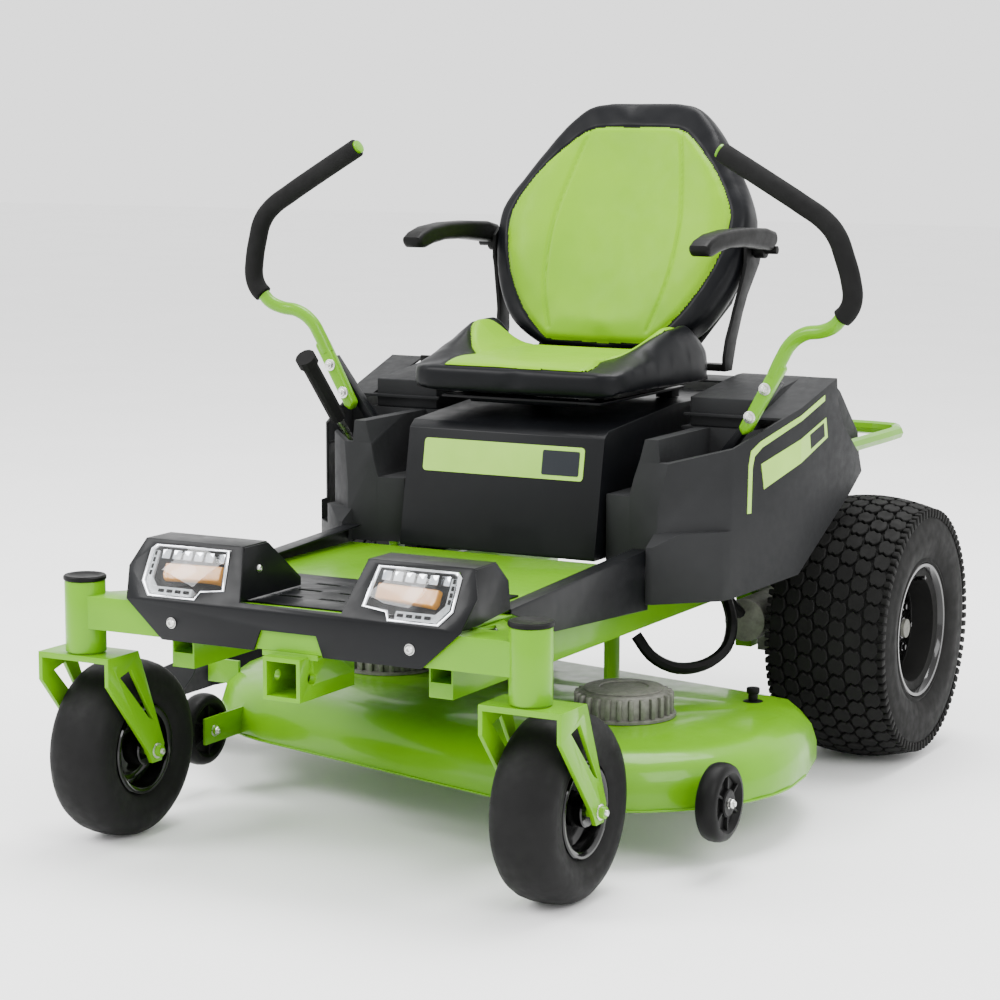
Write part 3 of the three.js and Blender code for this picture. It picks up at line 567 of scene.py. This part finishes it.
def rearRimShape(side):
    place = (side * rearTyre["track"], 0, rearTyre["axle"])
    outer = [(116, 93), (118.5, 97), (116, 99.5), (111, 99), (107, 94), (104.5, 86), (104, 74), (99, 68),
             (98, 54), (93, 47), (84, 43), (78, 44), (72, 47), (64, 47), (58, 44), (54, 44), (47, 52),
             (28, 54), (24, 58), (20, 58)]
    inner = [(20, 49), (42, 47), (50, 39), (60, 39), (72, 42), (78, 39), (84, 38), (95, 42), (100, 4),
             (104, -96), (114, -99), (118, -97), (116, -93), (108.8, -86), (108.8, 86)]
    profile = [(r, side * a) for r, a in outer + inner]
    rim = spun(profile, place, "x", 96)
    track, axle = rearTyre["track"], rearTyre["axle"]
    hub = rod((side * (track + 40), 0, axle), (side * (track + 66), 0, axle), 19, 32, 1.6)
    parts = [rim, hub]
    start = side * (track + rearRim["lugFoot"])
    for i in range(rearRim["lugs"]):
        angle = 2 * math.pi * i / rearRim["lugs"]
        y, z = rearRim["lugCircle"] * math.cos(angle), axle + rearRim["lugCircle"] * math.sin(angle)
        parts.append(rod((start, y, z), (start + side * 20, y, z), 9.5, 6, 1.2, 8.6))
        parts.append(rod((start, y, z), (start + side * 25, y, z), 5, 16, 0.8))
    valve = rod((side * 520, 0, 318), (side * 542, 0, 322), 3.6, 14, 0.8)
    return smooth(joined(parts + [valve]), 38)


# casters
caster = {"track": 386, "axleY": -1081, "radius": 139.7, "swivelY": -1169}


def casterTyre(side):
    half = [(66, 34), (70, 38), (78, 45), (90, 49.5), (94, 49.2), (98, 51), (110, 52), (122, 48.5), (131, 41),
            (136.2, 31), (138.7, 18)]
    profile = half + [(caster["radius"], 0)] + [(r, -a) for r, a in reversed(half)]
    return smooth(spun(profile, (side * caster["track"], caster["axleY"], caster["radius"]), "x", 112), 40)


def casterRimShape(side):
    place = (side * caster["track"], caster["axleY"], caster["radius"])
    half = [(65.8, 36), (70, 40), (72, 43), (70, 45), (66, 45), (61, 42), (58, 32), (56, 20), (48, 15),
            (34, 14), (26, 18), (25, 46), (23, 48), (10, 48)]
    profile = half + [(r, -a) for r, a in reversed(half)]
    return smooth(spun(profile, place, "x", 88), 36)


def dustCap(side):
    place = (side * caster["track"], caster["swivelY"], 418)
    profile = [(0, 0.4), (31.5, 0.4), (33, 2), (33, 6), (31, 8.2), (26, 8.2), (22, 6.2), (0, 5.2)]
    return smooth(spun(profile, place, "z", 64), 34)


def makeCasters():
    for side, name in ((1, "left"), (-1, "right")):
        x, y, z = side * caster["track"], caster["axleY"], caster["radius"]
        wheel = name + "_caster_wheel"
        present(casterTyre(side), name + "_smooth_tyre", "smoothTyre", wheel, [name + "_caster_tyre"])
        present(casterRimShape(side), name + "_caster_wheel_rim", "gloss", wheel, [name + "_caster_rim"])
        present(dustCap(side), name + "_dust_cap", "plastic", "frame")
        bolts = hexHead((x + 66, y, z), (1, 0, 0), 1.35) + hexHead((x - 66, y, z), (-1, 0, 0), 1.35)
        boltSet(name + "_axle_bolts", bolts, name + "_caster")
        tubeShape = rod((x, caster["swivelY"], 308.4), (x, caster["swivelY"], 417.8), 31.4, 72, 1.2)
        inside = rod((x, caster["swivelY"], 300), (x, caster["swivelY"], 430), 22, 48)
        cutAway(tubeShape, inside)
        present(smooth(tubeShape, 36), name + "_swivel_tube", "lime", "frame")


makeRearTyres()
print("rear tyres made")
for side, name in ((1, "left"), (-1, "right")):
    present(rearRimShape(side), name + "_rear_wheel_rim", "gloss", name + "_drive_wheel", [name + "_rear_rim"])
makeCasters()
print("wheels made")


# seat: foam pads swollen by cloth simulation, then seamed
seat = {"lean": 24, "footY": -212, "footZ": 722, "swell": 0.009, "voxel": 0.0055, "pressure": 1.4, "frames": 20,
        "stiffness": 60, "relax": 16}
backPad = {"front": -2, "back": 66, "flatFrom": 0.0695, "bolster": 14, "bolsterAt": 190, "bolsterWide": 60,
           "hollow": 12, "hollowWide": 150}
backHalf = [(108, 0), (176, 40), (222, 120), (242, 210), (238, 262), (200, 332), (150, 408), (106, 452),
            (60, 462)]
insetHalf = [(100, 10), (152, 62), (194, 136), (214, 212), (207, 262), (172, 322), (124, 376), (92, 402),
             (60, 408)]


def bothSides(half, shrink=0.0):
    right = [(x - shrink, s - shrink * 0.5) for x, s in half]
    return right + [(-x, s) for x, s in reversed(right)]


def uprightShape(outline, y0, y1):
    places = [Vector((x, y0, s)) / 1000 for x, s in outline]
    return extruded(places, (0, (y1 - y0) / 1000, 0))


def leaned(piece):
    lean = Matrix.Rotation(-math.radians(seat["lean"]), 4, "X")
    piece.data.transform(Matrix.Translation(at(0, seat["footY"], seat["footZ"])) @ lean)
    return piece


def swollen(piece):
    modify(piece, "REMESH", mode="VOXEL", voxel_size=seat["voxel"])
    modify(piece, "SMOOTH", factor=0.5, iterations=6)
    start = [vertex.co.copy() for vertex in piece.data.vertices]
    only(piece)
    bpy.ops.object.modifier_add(type="CLOTH")
    cloth = piece.modifiers[-1]
    cloth.settings.use_pressure = True
    cloth.settings.uniform_pressure_force = seat["pressure"]
    cloth.settings.effector_weights.gravity = 0
    cloth.settings.tension_stiffness = seat["stiffness"]
    cloth.settings.compression_stiffness = seat["stiffness"]
    cloth.settings.bending_stiffness = seat["stiffness"] / 10
    scene = bpy.context.scene
    for number in range(1, seat["frames"] + 1):
        scene.frame_set(number)
    bpy.ops.object.modifier_apply(modifier=cloth.name)
    scene.frame_set(1)
    for vertex, before in zip(piece.data.vertices, start):
        move = vertex.co - before
        if move.length > seat["swell"]:
            vertex.co = before + move.normalized() * seat["swell"]
    return modify(piece, "SMOOTH", factor=0.5, iterations=seat["relax"])


def insideOutline(x, s, outline):
    inside = False
    for (x0, s0), (x1, s1) in zip(outline, outline[1:] + outline[:1]):
        if (s0 > s) != (s1 > s) and x < (x1 - x0) * (s - s0) / (s1 - s0) + x0:
            inside = not inside
    return inside


def distanceTo(x, s, outline, closed=True):
    ends = outline[1:] + (outline[:1] if closed else [])
    nearest = 1e9
    for (x0, s0), (x1, s1) in zip(outline, ends):
        dx, ds = x1 - x0, s1 - s0
        share = max(0.0, min(1.0, ((x - x0) * dx + (s - s0) * ds) / (dx * dx + ds * ds)))
        nearest = min(nearest, math.hypot(x - x0 - share * dx, s - s0 - share * ds))
    return nearest


def curvedThrough(points, steps=8):
    whole = []
    extended = [points[0]] + points + [points[-1]]
    for a, b, c, d in zip(extended, extended[1:], extended[2:], extended[3:]):
        for i in range(steps):
            t = i / steps
            whole.append(tuple(0.5 * (2 * q + (r - p) * t + (2 * p - 5 * q + 4 * r - s) * t * t
                                      + (3 * q - p - 3 * r + s) * t ** 3) for p, q, r, s in zip(a, b, c, d)))
    return whole + [points[-1]]


# pulls the skin in along a seam, and stands the panel inside an outline a little proud
def seamed(piece, toPlan, normal, outline, seams, depth=3.2, width=3.4, proud=2.0):
    for vertex in piece.data.vertices:
        x, s, facing = toPlan(vertex.co)
        if not facing:
            continue
        rim = distanceTo(x, s, outline)
        move = -depth * math.exp(-(rim / width) ** 2)
        if insideOutline(x, s, outline):
            move += proud * min(1.0, rim / 9.0)
            for seam in seams:
                move -= 2.6 * math.exp(-(distanceTo(x, s, seam, False) / 2.6) ** 2)
        vertex.co += normal * move / 1000
    piece.data.update()


# the sewn-in panel is the skin inside the outline, lifted a hair and given its own thickness
def sewnPanel(piece, toPlan, outline):
    def outside(face):
        x, s, facing = toPlan(face.center)
        return not (facing and insideOutline(x, s, outline))

    panel = deleteFaces(copied(piece), outside)
    return modify(panel, "SOLIDIFY", thickness=0.0022, offset=0.35)


def presentPad(piece, name, material, replaces=()):
    present(smooth(piece, 60), name, material, "seat", replaces)


def makeBackrest():
    pad = uprightShape(bothSides(curvedThrough(backHalf, 4), -3), backPad["front"], backPad["back"])
    roundEdges(pad, 12, 3, 30)
    swollen(pad)
    for vertex in pad.data.vertices:
        vertex.co.y = min(vertex.co.y, backPad["flatFrom"])
        x, s = vertex.co.x * 1000, vertex.co.z * 1000
        beside = (abs(x) - backPad["bolsterAt"]) / backPad["bolsterWide"]
        bolster = backPad["bolster"] * math.exp(-beside ** 2)
        if vertex.co.y < 0.03:
            away = distanceTo(x, s, [(0, 120), (0, 330)], False) / backPad["hollowWide"]
            vertex.co.y += (backPad["hollow"] - bolster) * math.exp(-away ** 2) / 1000
    modify(pad, "SUBSURF", levels=1, render_levels=1)
    outline = bothSides(curvedThrough(insetHalf, 4))
    seamHalf = curvedThrough([(96, 28), (118, 110), (124, 214), (112, 300), (90, 400)], 5)
    seams = [[(side * x, s) for x, s in seamHalf] for side in (1, -1)]
    toPlan = lambda co: (co.x * 1000, co.z * 1000, co.y < 0.025)
    seamed(pad, toPlan, Vector((0, -1, 0)), outline, seams)
    panel = sewnPanel(pad, toPlan, outline)
    presentPad(leaned(pad), "backrest_cover", "blackVinyl", ["seat_back"])
    presentPad(leaned(panel), "backrest_panel", "limeVinyl")


# the seat base: a low front edge, bolsters rising beside the thighs
base = {"low": 672, "skirt": 660, "top": 716, "bolster": 50, "highest": 772, "skirtEnds": -502}
basePlanHalf = [(165, -524), (196, -504), (210, -440), (224, -330), (229, -240), (212, -184), (188, -186),
                (150, -216)]
baseInsetHalf = [(132, -518), (134, -470), (120, -420), (150, -380), (182, -320), (176, -262), (120, -232)]


def baseTop(x, y):
    rise = base["bolster"] * math.exp(-((abs(x) - 192) / 44) ** 2)
    back = max(0.0, min(1.0, (y + 500) / 190))
    tail = max(0.0, min(1.0, (-180 - y) / 60))
    return base["top"] + rise * back * (0.6 + 0.4 * tail) - 5 * (1 - back)


def makeBaseCushion():
    outline = curvedThrough(basePlanHalf, 4)
    outline = outline + [(-x, y) for x, y in reversed(outline)]
    places = [at(x * 0.985, y * 0.985 - 6, base["skirt"] + 2) for x, y in outline]
    pad = extruded(places, (0, 0, (base["top"] - base["skirt"] - 10) / 1000))
    roundEdges(pad, 10, 3, 30)
    swollen(pad)
    origin = at(0, 0, 0)
    for vertex in pad.data.vertices:
        x, y = (vertex.co.x - origin.x) * 1000, (vertex.co.y - origin.y) * 1000
        share = max(0.0, min(1.0, (vertex.co.z * 1000 - base["low"]) / (base["top"] - base["low"])))
        vertex.co.z += share * share * (baseTop(x, y) - base["top"]) / 1000
        vertex.co.z = max(vertex.co.z, (base["skirt"] if y < base["skirtEnds"] else base["low"]) / 1000)
        vertex.co.z = min(vertex.co.z, base["highest"] / 1000)
    modify(pad, "SUBSURF", levels=1, render_levels=1)
    inset = curvedThrough(baseInsetHalf, 4)
    inset = inset + [(-x, y) for x, y in reversed(inset)]
    seamHalf = curvedThrough([(124, -420), (112, -350), (100, -240)], 5)
    seams = [[(side * x, y) for x, y in seamHalf] for side in (1, -1)]
    toPlan = lambda co: ((co.x - origin.x) * 1000, (co.y - origin.y) * 1000, co.z > 0.705)
    seamed(pad, toPlan, Vector((0, 0, 1)), inset, seams)
    panel = sewnPanel(pad, toPlan, inset)
    presentPad(pad, "seat_cover", "blackVinyl", ["seat_cushion"])
    presentPad(panel, "seat_panel", "limeVinyl")


armrestSide = [(-88, 897), (-104, 888), (-150, 893), (-215, 899), (-280, 900), (-325, 895), (-352, 889),
               (-370, 890), (-380, 898), (-378, 908), (-362, 917), (-330, 925), (-270, 930), (-190, 930),
               (-125, 927), (-90, 920), (-82, 908)]


def makeArmrests():
    for side, name in ((1, "left"), (-1, "right")):
        pad = extruded([at(side * 254, y, z) for y, z in armrestSide], (side * 0.038, 0, 0))
        knuckle = rod((side * 252, -93, 888), (side * 272, -93, 888), 15, 32, 2)
        shape = joined([roundEdges(pad, 8, 4, 50), knuckle])
        present(smooth(shape, 40), name + "_armrest_pad", "plastic", name + "_arm", [name + "_armrest"])


makeBackrest()
makeBaseCushion()
makeArmrests()
print("seat made")


# lap bars
lapBar = {"tube": 11.4, "grip": 16.3}
tubePath = [(424, -410, 704), (438, -412, 732), (455, -414, 758), (480, -418, 775), (512, -422, 781),
            (533, -426, 790), (545, -428, 802)]
gripPath = [(546.3, -428, 803.4), (556, -428.5, 813), (564, -429, 832), (562, -431, 862), (552, -435, 900),
            (540, -438, 932), (521, -439, 955), (480, -440, 982), (436, -441, 1008), (342, -442, 1062)]


def lapBarPieces(side, name):
    flip = lambda places: [(side * x, y, z) for x, y, z in places]
    upright = tube(flip(tubePath), lapBar["tube"], 32, 6)
    low = [(374, 604), (386, 612), (446, 716), (438, 728), (424, 724), (366, 618)]
    plate = extruded([at(side * x, -420, z) for x, z in low], (0, 0.0212, 0))
    plate = roundEdges(plate, 5, 3, 50)
    lever = name + "_lever"
    present(smooth(joined([upright, plate]), 40), name + "_lap_tube", "lime", lever, [name + "_lever_tube"])
    grip = tube(flip(gripPath), lapBar["grip"], 40, 6)
    cap = rod((side * 341.8, -442, 1062.1), (side * 336.5, -442.1, 1065.1), 11.6, 32, 0.8)
    grip = smooth(roundEdges(grip, 2.2, 2, 60), 40)
    present(grip, name + "_foam_sleeve", "foam", lever, [name + "_lever_grip"])
    present(smooth(cap, 40), name + "_sleeve_end", "lime", lever)
    bolts = []
    for x, z in ((387, 636), (413, 683)):
        bolts += hexHead((side * x, -420, z), (0, -1, 0), 1.15)
    boltSet(name + "_lap_bolts", bolts, lever)


for side, name in ((1, "left"), (-1, "right")):
    lapBarPieces(side, name)
print("lap bars made")


# mower deck
deck = {"low": 87, "radius": 290, "washStud": (406, -432)}
lobes = [(264, -622), (-258, -482)]


def arcPoints(centre, radius, start, end, count):
    step = (end - start) / count
    return [(centre[0] + radius * math.cos(math.radians(start + i * step)),
             centre[1] + radius * math.sin(math.radians(start + i * step))) for i in range(count + 1)]


def deckPlan(grow=0.0):
    left, right = lobes
    radius = deck["radius"] + grow
    plan = arcPoints(left, radius, -105, 0, 30)
    plan += [(546 + grow, -545), (512 + grow, -452), (455 + grow, -350 + grow), (360, -306 + grow),
             (-240, -193 + grow), (-322 - grow, -214 + grow), (-396 - grow, -232 + grow)]
    return plan + arcPoints(right, radius, 126, 255, 34)


def deckLip():
    outer = [at(x, y, deck["low"]) for x, y in deckPlan(2)]
    lip = traced(outer)
    edit(lip)
    bpy.ops.mesh.inset(thickness=0.013, depth=0)
    bpy.ops.mesh.delete(type="FACE")
    leaveEdit()
    modify(lip, "SOLIDIFY", thickness=0.0035, offset=0)
    return roundEdges(lip, 1.2, 2, 50)


def makeDeck():
    lip = deckLip()
    cutAway(lip, box((-640, -590, 60), (-505, -400, 140)))
    shell = joined([softenedCopy("deck_shell", 1.2), lip])
    present(smooth(shell, 36), "pressed_deck", "lime", "deck", ["deck_shell"])
    x, y = deck["washStud"]
    stud = [rod((x, y, 160), (x, y, 172), 17, 32, 2), rod((x, y, 170), (x, y, 186), 8, 24, 1.5),
            rod((x, y, 184), (x, y, 194), 11, 24, 2)]
    present(smooth(joined(stud), 36), "deck_wash_stud", "plastic", "deck")


motorCover = {"fins": 26, "finWide": 8.4, "finIn": 70, "finOut": 80, "finLow": 176, "finHigh": 210}


def makeMotorCovers():
    for (x, y), name in zip(lobes, ("left", "right")):
        profile = [(0, 172), (84, 172), (84, 176), (74, 178), (74, 205), (70, 212), (60, 215), (30, 216),
                   (0, 216)]
        drum = spun(profile, (x, y, 0), "z", 96)
        parts = [drum]
        half = motorCover["finWide"] / 2
        fin = box((x + motorCover["finIn"], y - half, motorCover["finLow"]),
                  (x + motorCover["finOut"], y + half, motorCover["finHigh"]), 2.4)
        centre = at(x, y, 0)
        for i in range(motorCover["fins"]):
            spin = Matrix.Rotation(2 * math.pi * i / motorCover["fins"], 4, "Z")
            parts.append(copied(fin, Matrix.Translation(centre) @ spin @ Matrix.Translation(-centre)))
        bpy.data.objects.remove(fin)
        parts.append(rod((x, y, 110), (x, y, 176), 12, 24))
        parts.append(spun([(38, 216), (64, 214.4), (64, 216.4), (60, 217.4), (40, 217.8)], (x, y, 0), "z", 72))
        present(smooth(joined(parts), 36), name + "_motor_cover", "cast", "deck", [name + "_blade_motor"])


gauge = {"radius": 60, "half": 17, "height": 110, "spokes": 6}


def makeGaugeWheels():
    for (x, y), name, out in (((531, -842), "left", 1), ((-418, -818), "right", -1)):
        half = [(8, gauge["half"]), (19, gauge["half"]), (21, 15), (21, 9), (38, 8), (42, 14),
                (46, gauge["half"]), (52, 16.5), (57, 13), (59.4, 7)]
        profile = half + [(gauge["radius"], 0)] + [(r, -a) for r, a in reversed(half)]
        wheel = spun(profile, (x, y, gauge["height"]), "x", 72)
        spokes = []
        for i in range(gauge["spokes"]):
            spoke = box((x - 14, y - 2, gauge["height"] + 18), (x + 14, y + 2, gauge["height"] + 42), 0.8)
            middle = at(x, y, gauge["height"])
            spin = Matrix.Rotation(2 * math.pi * i / gauge["spokes"], 4, "X")
            spoke.data.transform(Matrix.Translation(middle) @ spin @ Matrix.Translation(-middle))
            spokes.append(spoke)
        present(smooth(joined([wheel] + spokes), 36), name + "_gauge_roller", "plastic", name + "_gauge",
                [name + "_gauge_wheel"])
        boltSet(name + "_gauge_bolt", hexHead((x + out * 15, y, gauge["height"]), (out, 0, 0), 1.2)
                + hexHead((x - out * 25, y, gauge["height"]), (-out, 0, 0), 1.1), "deck")


makeDeck()
makeMotorCovers()
makeGaugeWheels()
print("deck made")


# headlights
lampSlope = {"bottom": (-1197, 402), "top": (-1148, 488)}


def onSlope(x, z, proud=0.0):
    (y0, z0), (y1, z1) = lampSlope["bottom"], lampSlope["top"]
    run = (z - z0) / (z1 - z0)
    length = math.hypot(y1 - y0, z1 - z0)
    return at(x, y0 + (y1 - y0) * run - proud * (z1 - z0) / length, z + proud * (y1 - y0) / length)


def slopePlate(outline, proud, thick):
    places = [onSlope(x, z, proud) for x, z in outline]
    inward = onSlope(0, 440, proud - thick) - onSlope(0, 440, proud)
    return extruded(places, inward)


lamp = {"middle": (194, 446), "reflectors": 6, "pitch": 19, "dashes": 4}
lensOutline = [(118, 424), (160, 420), (166, 408), (252, 408), (270, 428), (270, 474), (262, 481), (128, 481)]


def makeHeadlights():
    for side, name in ((1, "left"), (-1, "right")):
        flip = lambda outline: [(side * x, z) for x, z in outline]
        midX, midZ = lamp["middle"]
        shrink = lambda k: [(midX + (x - midX) * k, midZ + (z - midZ) * k) for x, z in lensOutline]
        bowl = slopePlate(flip(shrink(0.985)), -12, 4)
        present(smooth(roundEdges(bowl, 0.8)), name + "_lamp_bowl", "plastic", "frame", [name + "_headlight"])
        rim = slopePlate(flip(shrink(0.99)), 1.2, 12)
        cutAway(rim, slopePlate(flip(shrink(0.90)), 6, 30))
        present(smooth(roundEdges(rim, 0.8)), name + "_lamp_rim", "chrome", "frame")
        rows = []
        for i in range(lamp["reflectors"]):
            x = 138 + i * lamp["pitch"]
            rows.append(slopePlate(flip([(x, 462), (x + 15, 462), (x + 15, 475), (x, 475)]), -3, 8))
        present(smooth(roundEdges(joined(rows), 1.6)), name + "_lamp_reflectors", "chrome", "frame")
        amber = slopePlate(flip([(136, 438), (232, 434), (236, 440), (236, 456), (136, 458)]), -0.6, 9)
        present(smooth(roundEdges(amber, 1.8, 3)), name + "_amber_bar", "amber", "frame")
        guide = slopePlate(flip([(176, 412), (250, 412), (264, 428), (264, 472), (252, 472), (252, 436),
                                 (240, 424), (176, 424)]), -0.4, 8)
        present(smooth(roundEdges(guide, 1.4)), name + "_light_guide", "white", "frame")
        dashes = []
        for i in range(lamp["dashes"]):
            dashes.append(slopePlate(flip([(180 + i * 15, 416), (190 + i * 15, 416), (190 + i * 15, 420),
                                           (180 + i * 15, 420)]), 0.5, 2))
            dashes.append(slopePlate(flip([(256, 438 + i * 9), (260, 438 + i * 9), (260, 444 + i * 9),
                                           (256, 444 + i * 9)]), 0.5, 2))
        present(joined(dashes), name + "_guide_dashes", "plastic", "frame")
        cover = slopePlate(flip(shrink(0.97)), 1.8, 1.4)
        present(smooth(roundEdges(cover, 0.5)), name + "_lamp_lens", "lens", "frame")


makeHeadlights()
print("headlights made")


# small fittings on the body
def makeFittings():
    bolts = []
    for side in (-1, 1):
        bolts += buttonHead((side * 206, -1197, 372), (0, -1, 0), 1.05)
        bolts += buttonHead((side * 106, -1111, 450), (side * -1, 0, 0), 0.8)
    boltSet("cover_bolts", bolts, "frame")


def boxFaceY(z):
    return -570 + (z - 410) * 34 / 190


def facePlate(x0, x1, z0, z1, proud=1.2, corner=6):
    places = []
    for cx, cz, start in ((x1 - corner, z1 - corner, 0), (x0 + corner, z1 - corner, 90),
                          (x0 + corner, z0 + corner, 180), (x1 - corner, z0 + corner, 270)):
        for i in range(5):
            angle = math.radians(start + i * 22.5)
            places.append((cx + corner * math.cos(angle), cz + corner * math.sin(angle)))
    outline = [at(x, boxFaceY(z) - 0.2, z) for x, z in places]
    return extruded(outline, (0, -proud / 1000, 0.18 * proud / 1000))


# side stripe and plain label on the fenders
fenderBend = -300
stripeParts = [[(-441, 481), (-431, 481), (-429, 555), (-424, 573), (-404, 586), (-300, 620), (-300, 629.5),
                (-409, 596), (-433, 583), (-439, 559)],
               [(-300, 620), (-214, 646), (-214, 655.5), (-300, 629.5)]]
labelParts = [[(-406, 559), (-398, 517), (-300, 550), (-300, 590)],
              [(-300, 590), (-300, 550), (-201, 583), (-208, 617)]]
labelInset = [(-268, 594), (-264, 570), (-213, 586), (-217, 609)]


def fenderX(y):
    if y <= fenderBend:
        return 385 + (y + 480) * 43 / 180
    return 428 + (y - fenderBend) * 13 / 190


def fenderFilm(side, outline, proud):
    places = [at(side * (fenderX(y) - 0.4), y, z) for y, z in outline]
    return extruded(places, (side * (proud + 0.4) / 1000, 0, 0))


def makeFenderFilms():
    for side, name in ((1, "left"), (-1, "right")):
        films = [fenderFilm(side, outline, 0.9) for outline in stripeParts + labelParts]
        present(smooth(joined(films), 20), name + "_fender_films", "film", "frame")
        present(fenderFilm(side, labelInset, 1.3), name + "_fender_label_inset", "grey", "frame")


makeFenderFilms()
makeFittings()
present(smooth(facePlate(-150, 150, 530, 584)), "front_name_plate", "film", "frame")
inner = facePlate(74, 142, 537, 577, 1.8, 3)
present(smooth(inner), "front_name_inset", "graphite", "frame")
print("fittings made")


# floor and lights
studio = {"floorSize": 40, "floorZ": -0.0004, "world": 1.9, "aim": (0.05, -0.1, 0.5)}
softLights = [((-3.2, -3.6, 4.2), 300, 2.6), ((3.6, -2.4, 3.2), 120, 2.2), ((0.4, 1.2, 5.2), 380, 3.0)]


def makeStage():
    deselectAll()
    bpy.ops.mesh.primitive_plane_add(size=studio["floorSize"], location=(0, 0, studio["floorZ"]))
    floor = bpy.context.object
    floor.name = "floor"
    pale = newFinish("pale_floor", Roughness=0.6)
    colourBy(pale, noise(pale, 2, 2), (0.93, 0.93, 0.93), (0.96, 0.96, 0.96))
    floor.data.materials.append(pale)
    world = bpy.data.worlds.new("studio")
    world.use_nodes = True
    world.node_tree.nodes["Background"].inputs["Color"].default_value = (1, 1, 1, 1)
    world.node_tree.nodes["Background"].inputs["Strength"].default_value = studio["world"]
    bpy.context.scene.world = world
    for place, power, size in softLights:
        light = bpy.data.lights.new("soft light", "AREA")
        light.energy = power
        light.size = size
        stand = bpy.data.objects.new("soft light", light)
        bpy.context.scene.collection.objects.link(stand)
        stand.location = place
        stand.rotation_euler = (Vector(studio["aim"]) - Vector(place)).to_track_quat("-Z", "Y").to_euler()


makeStage()
deselectAll()
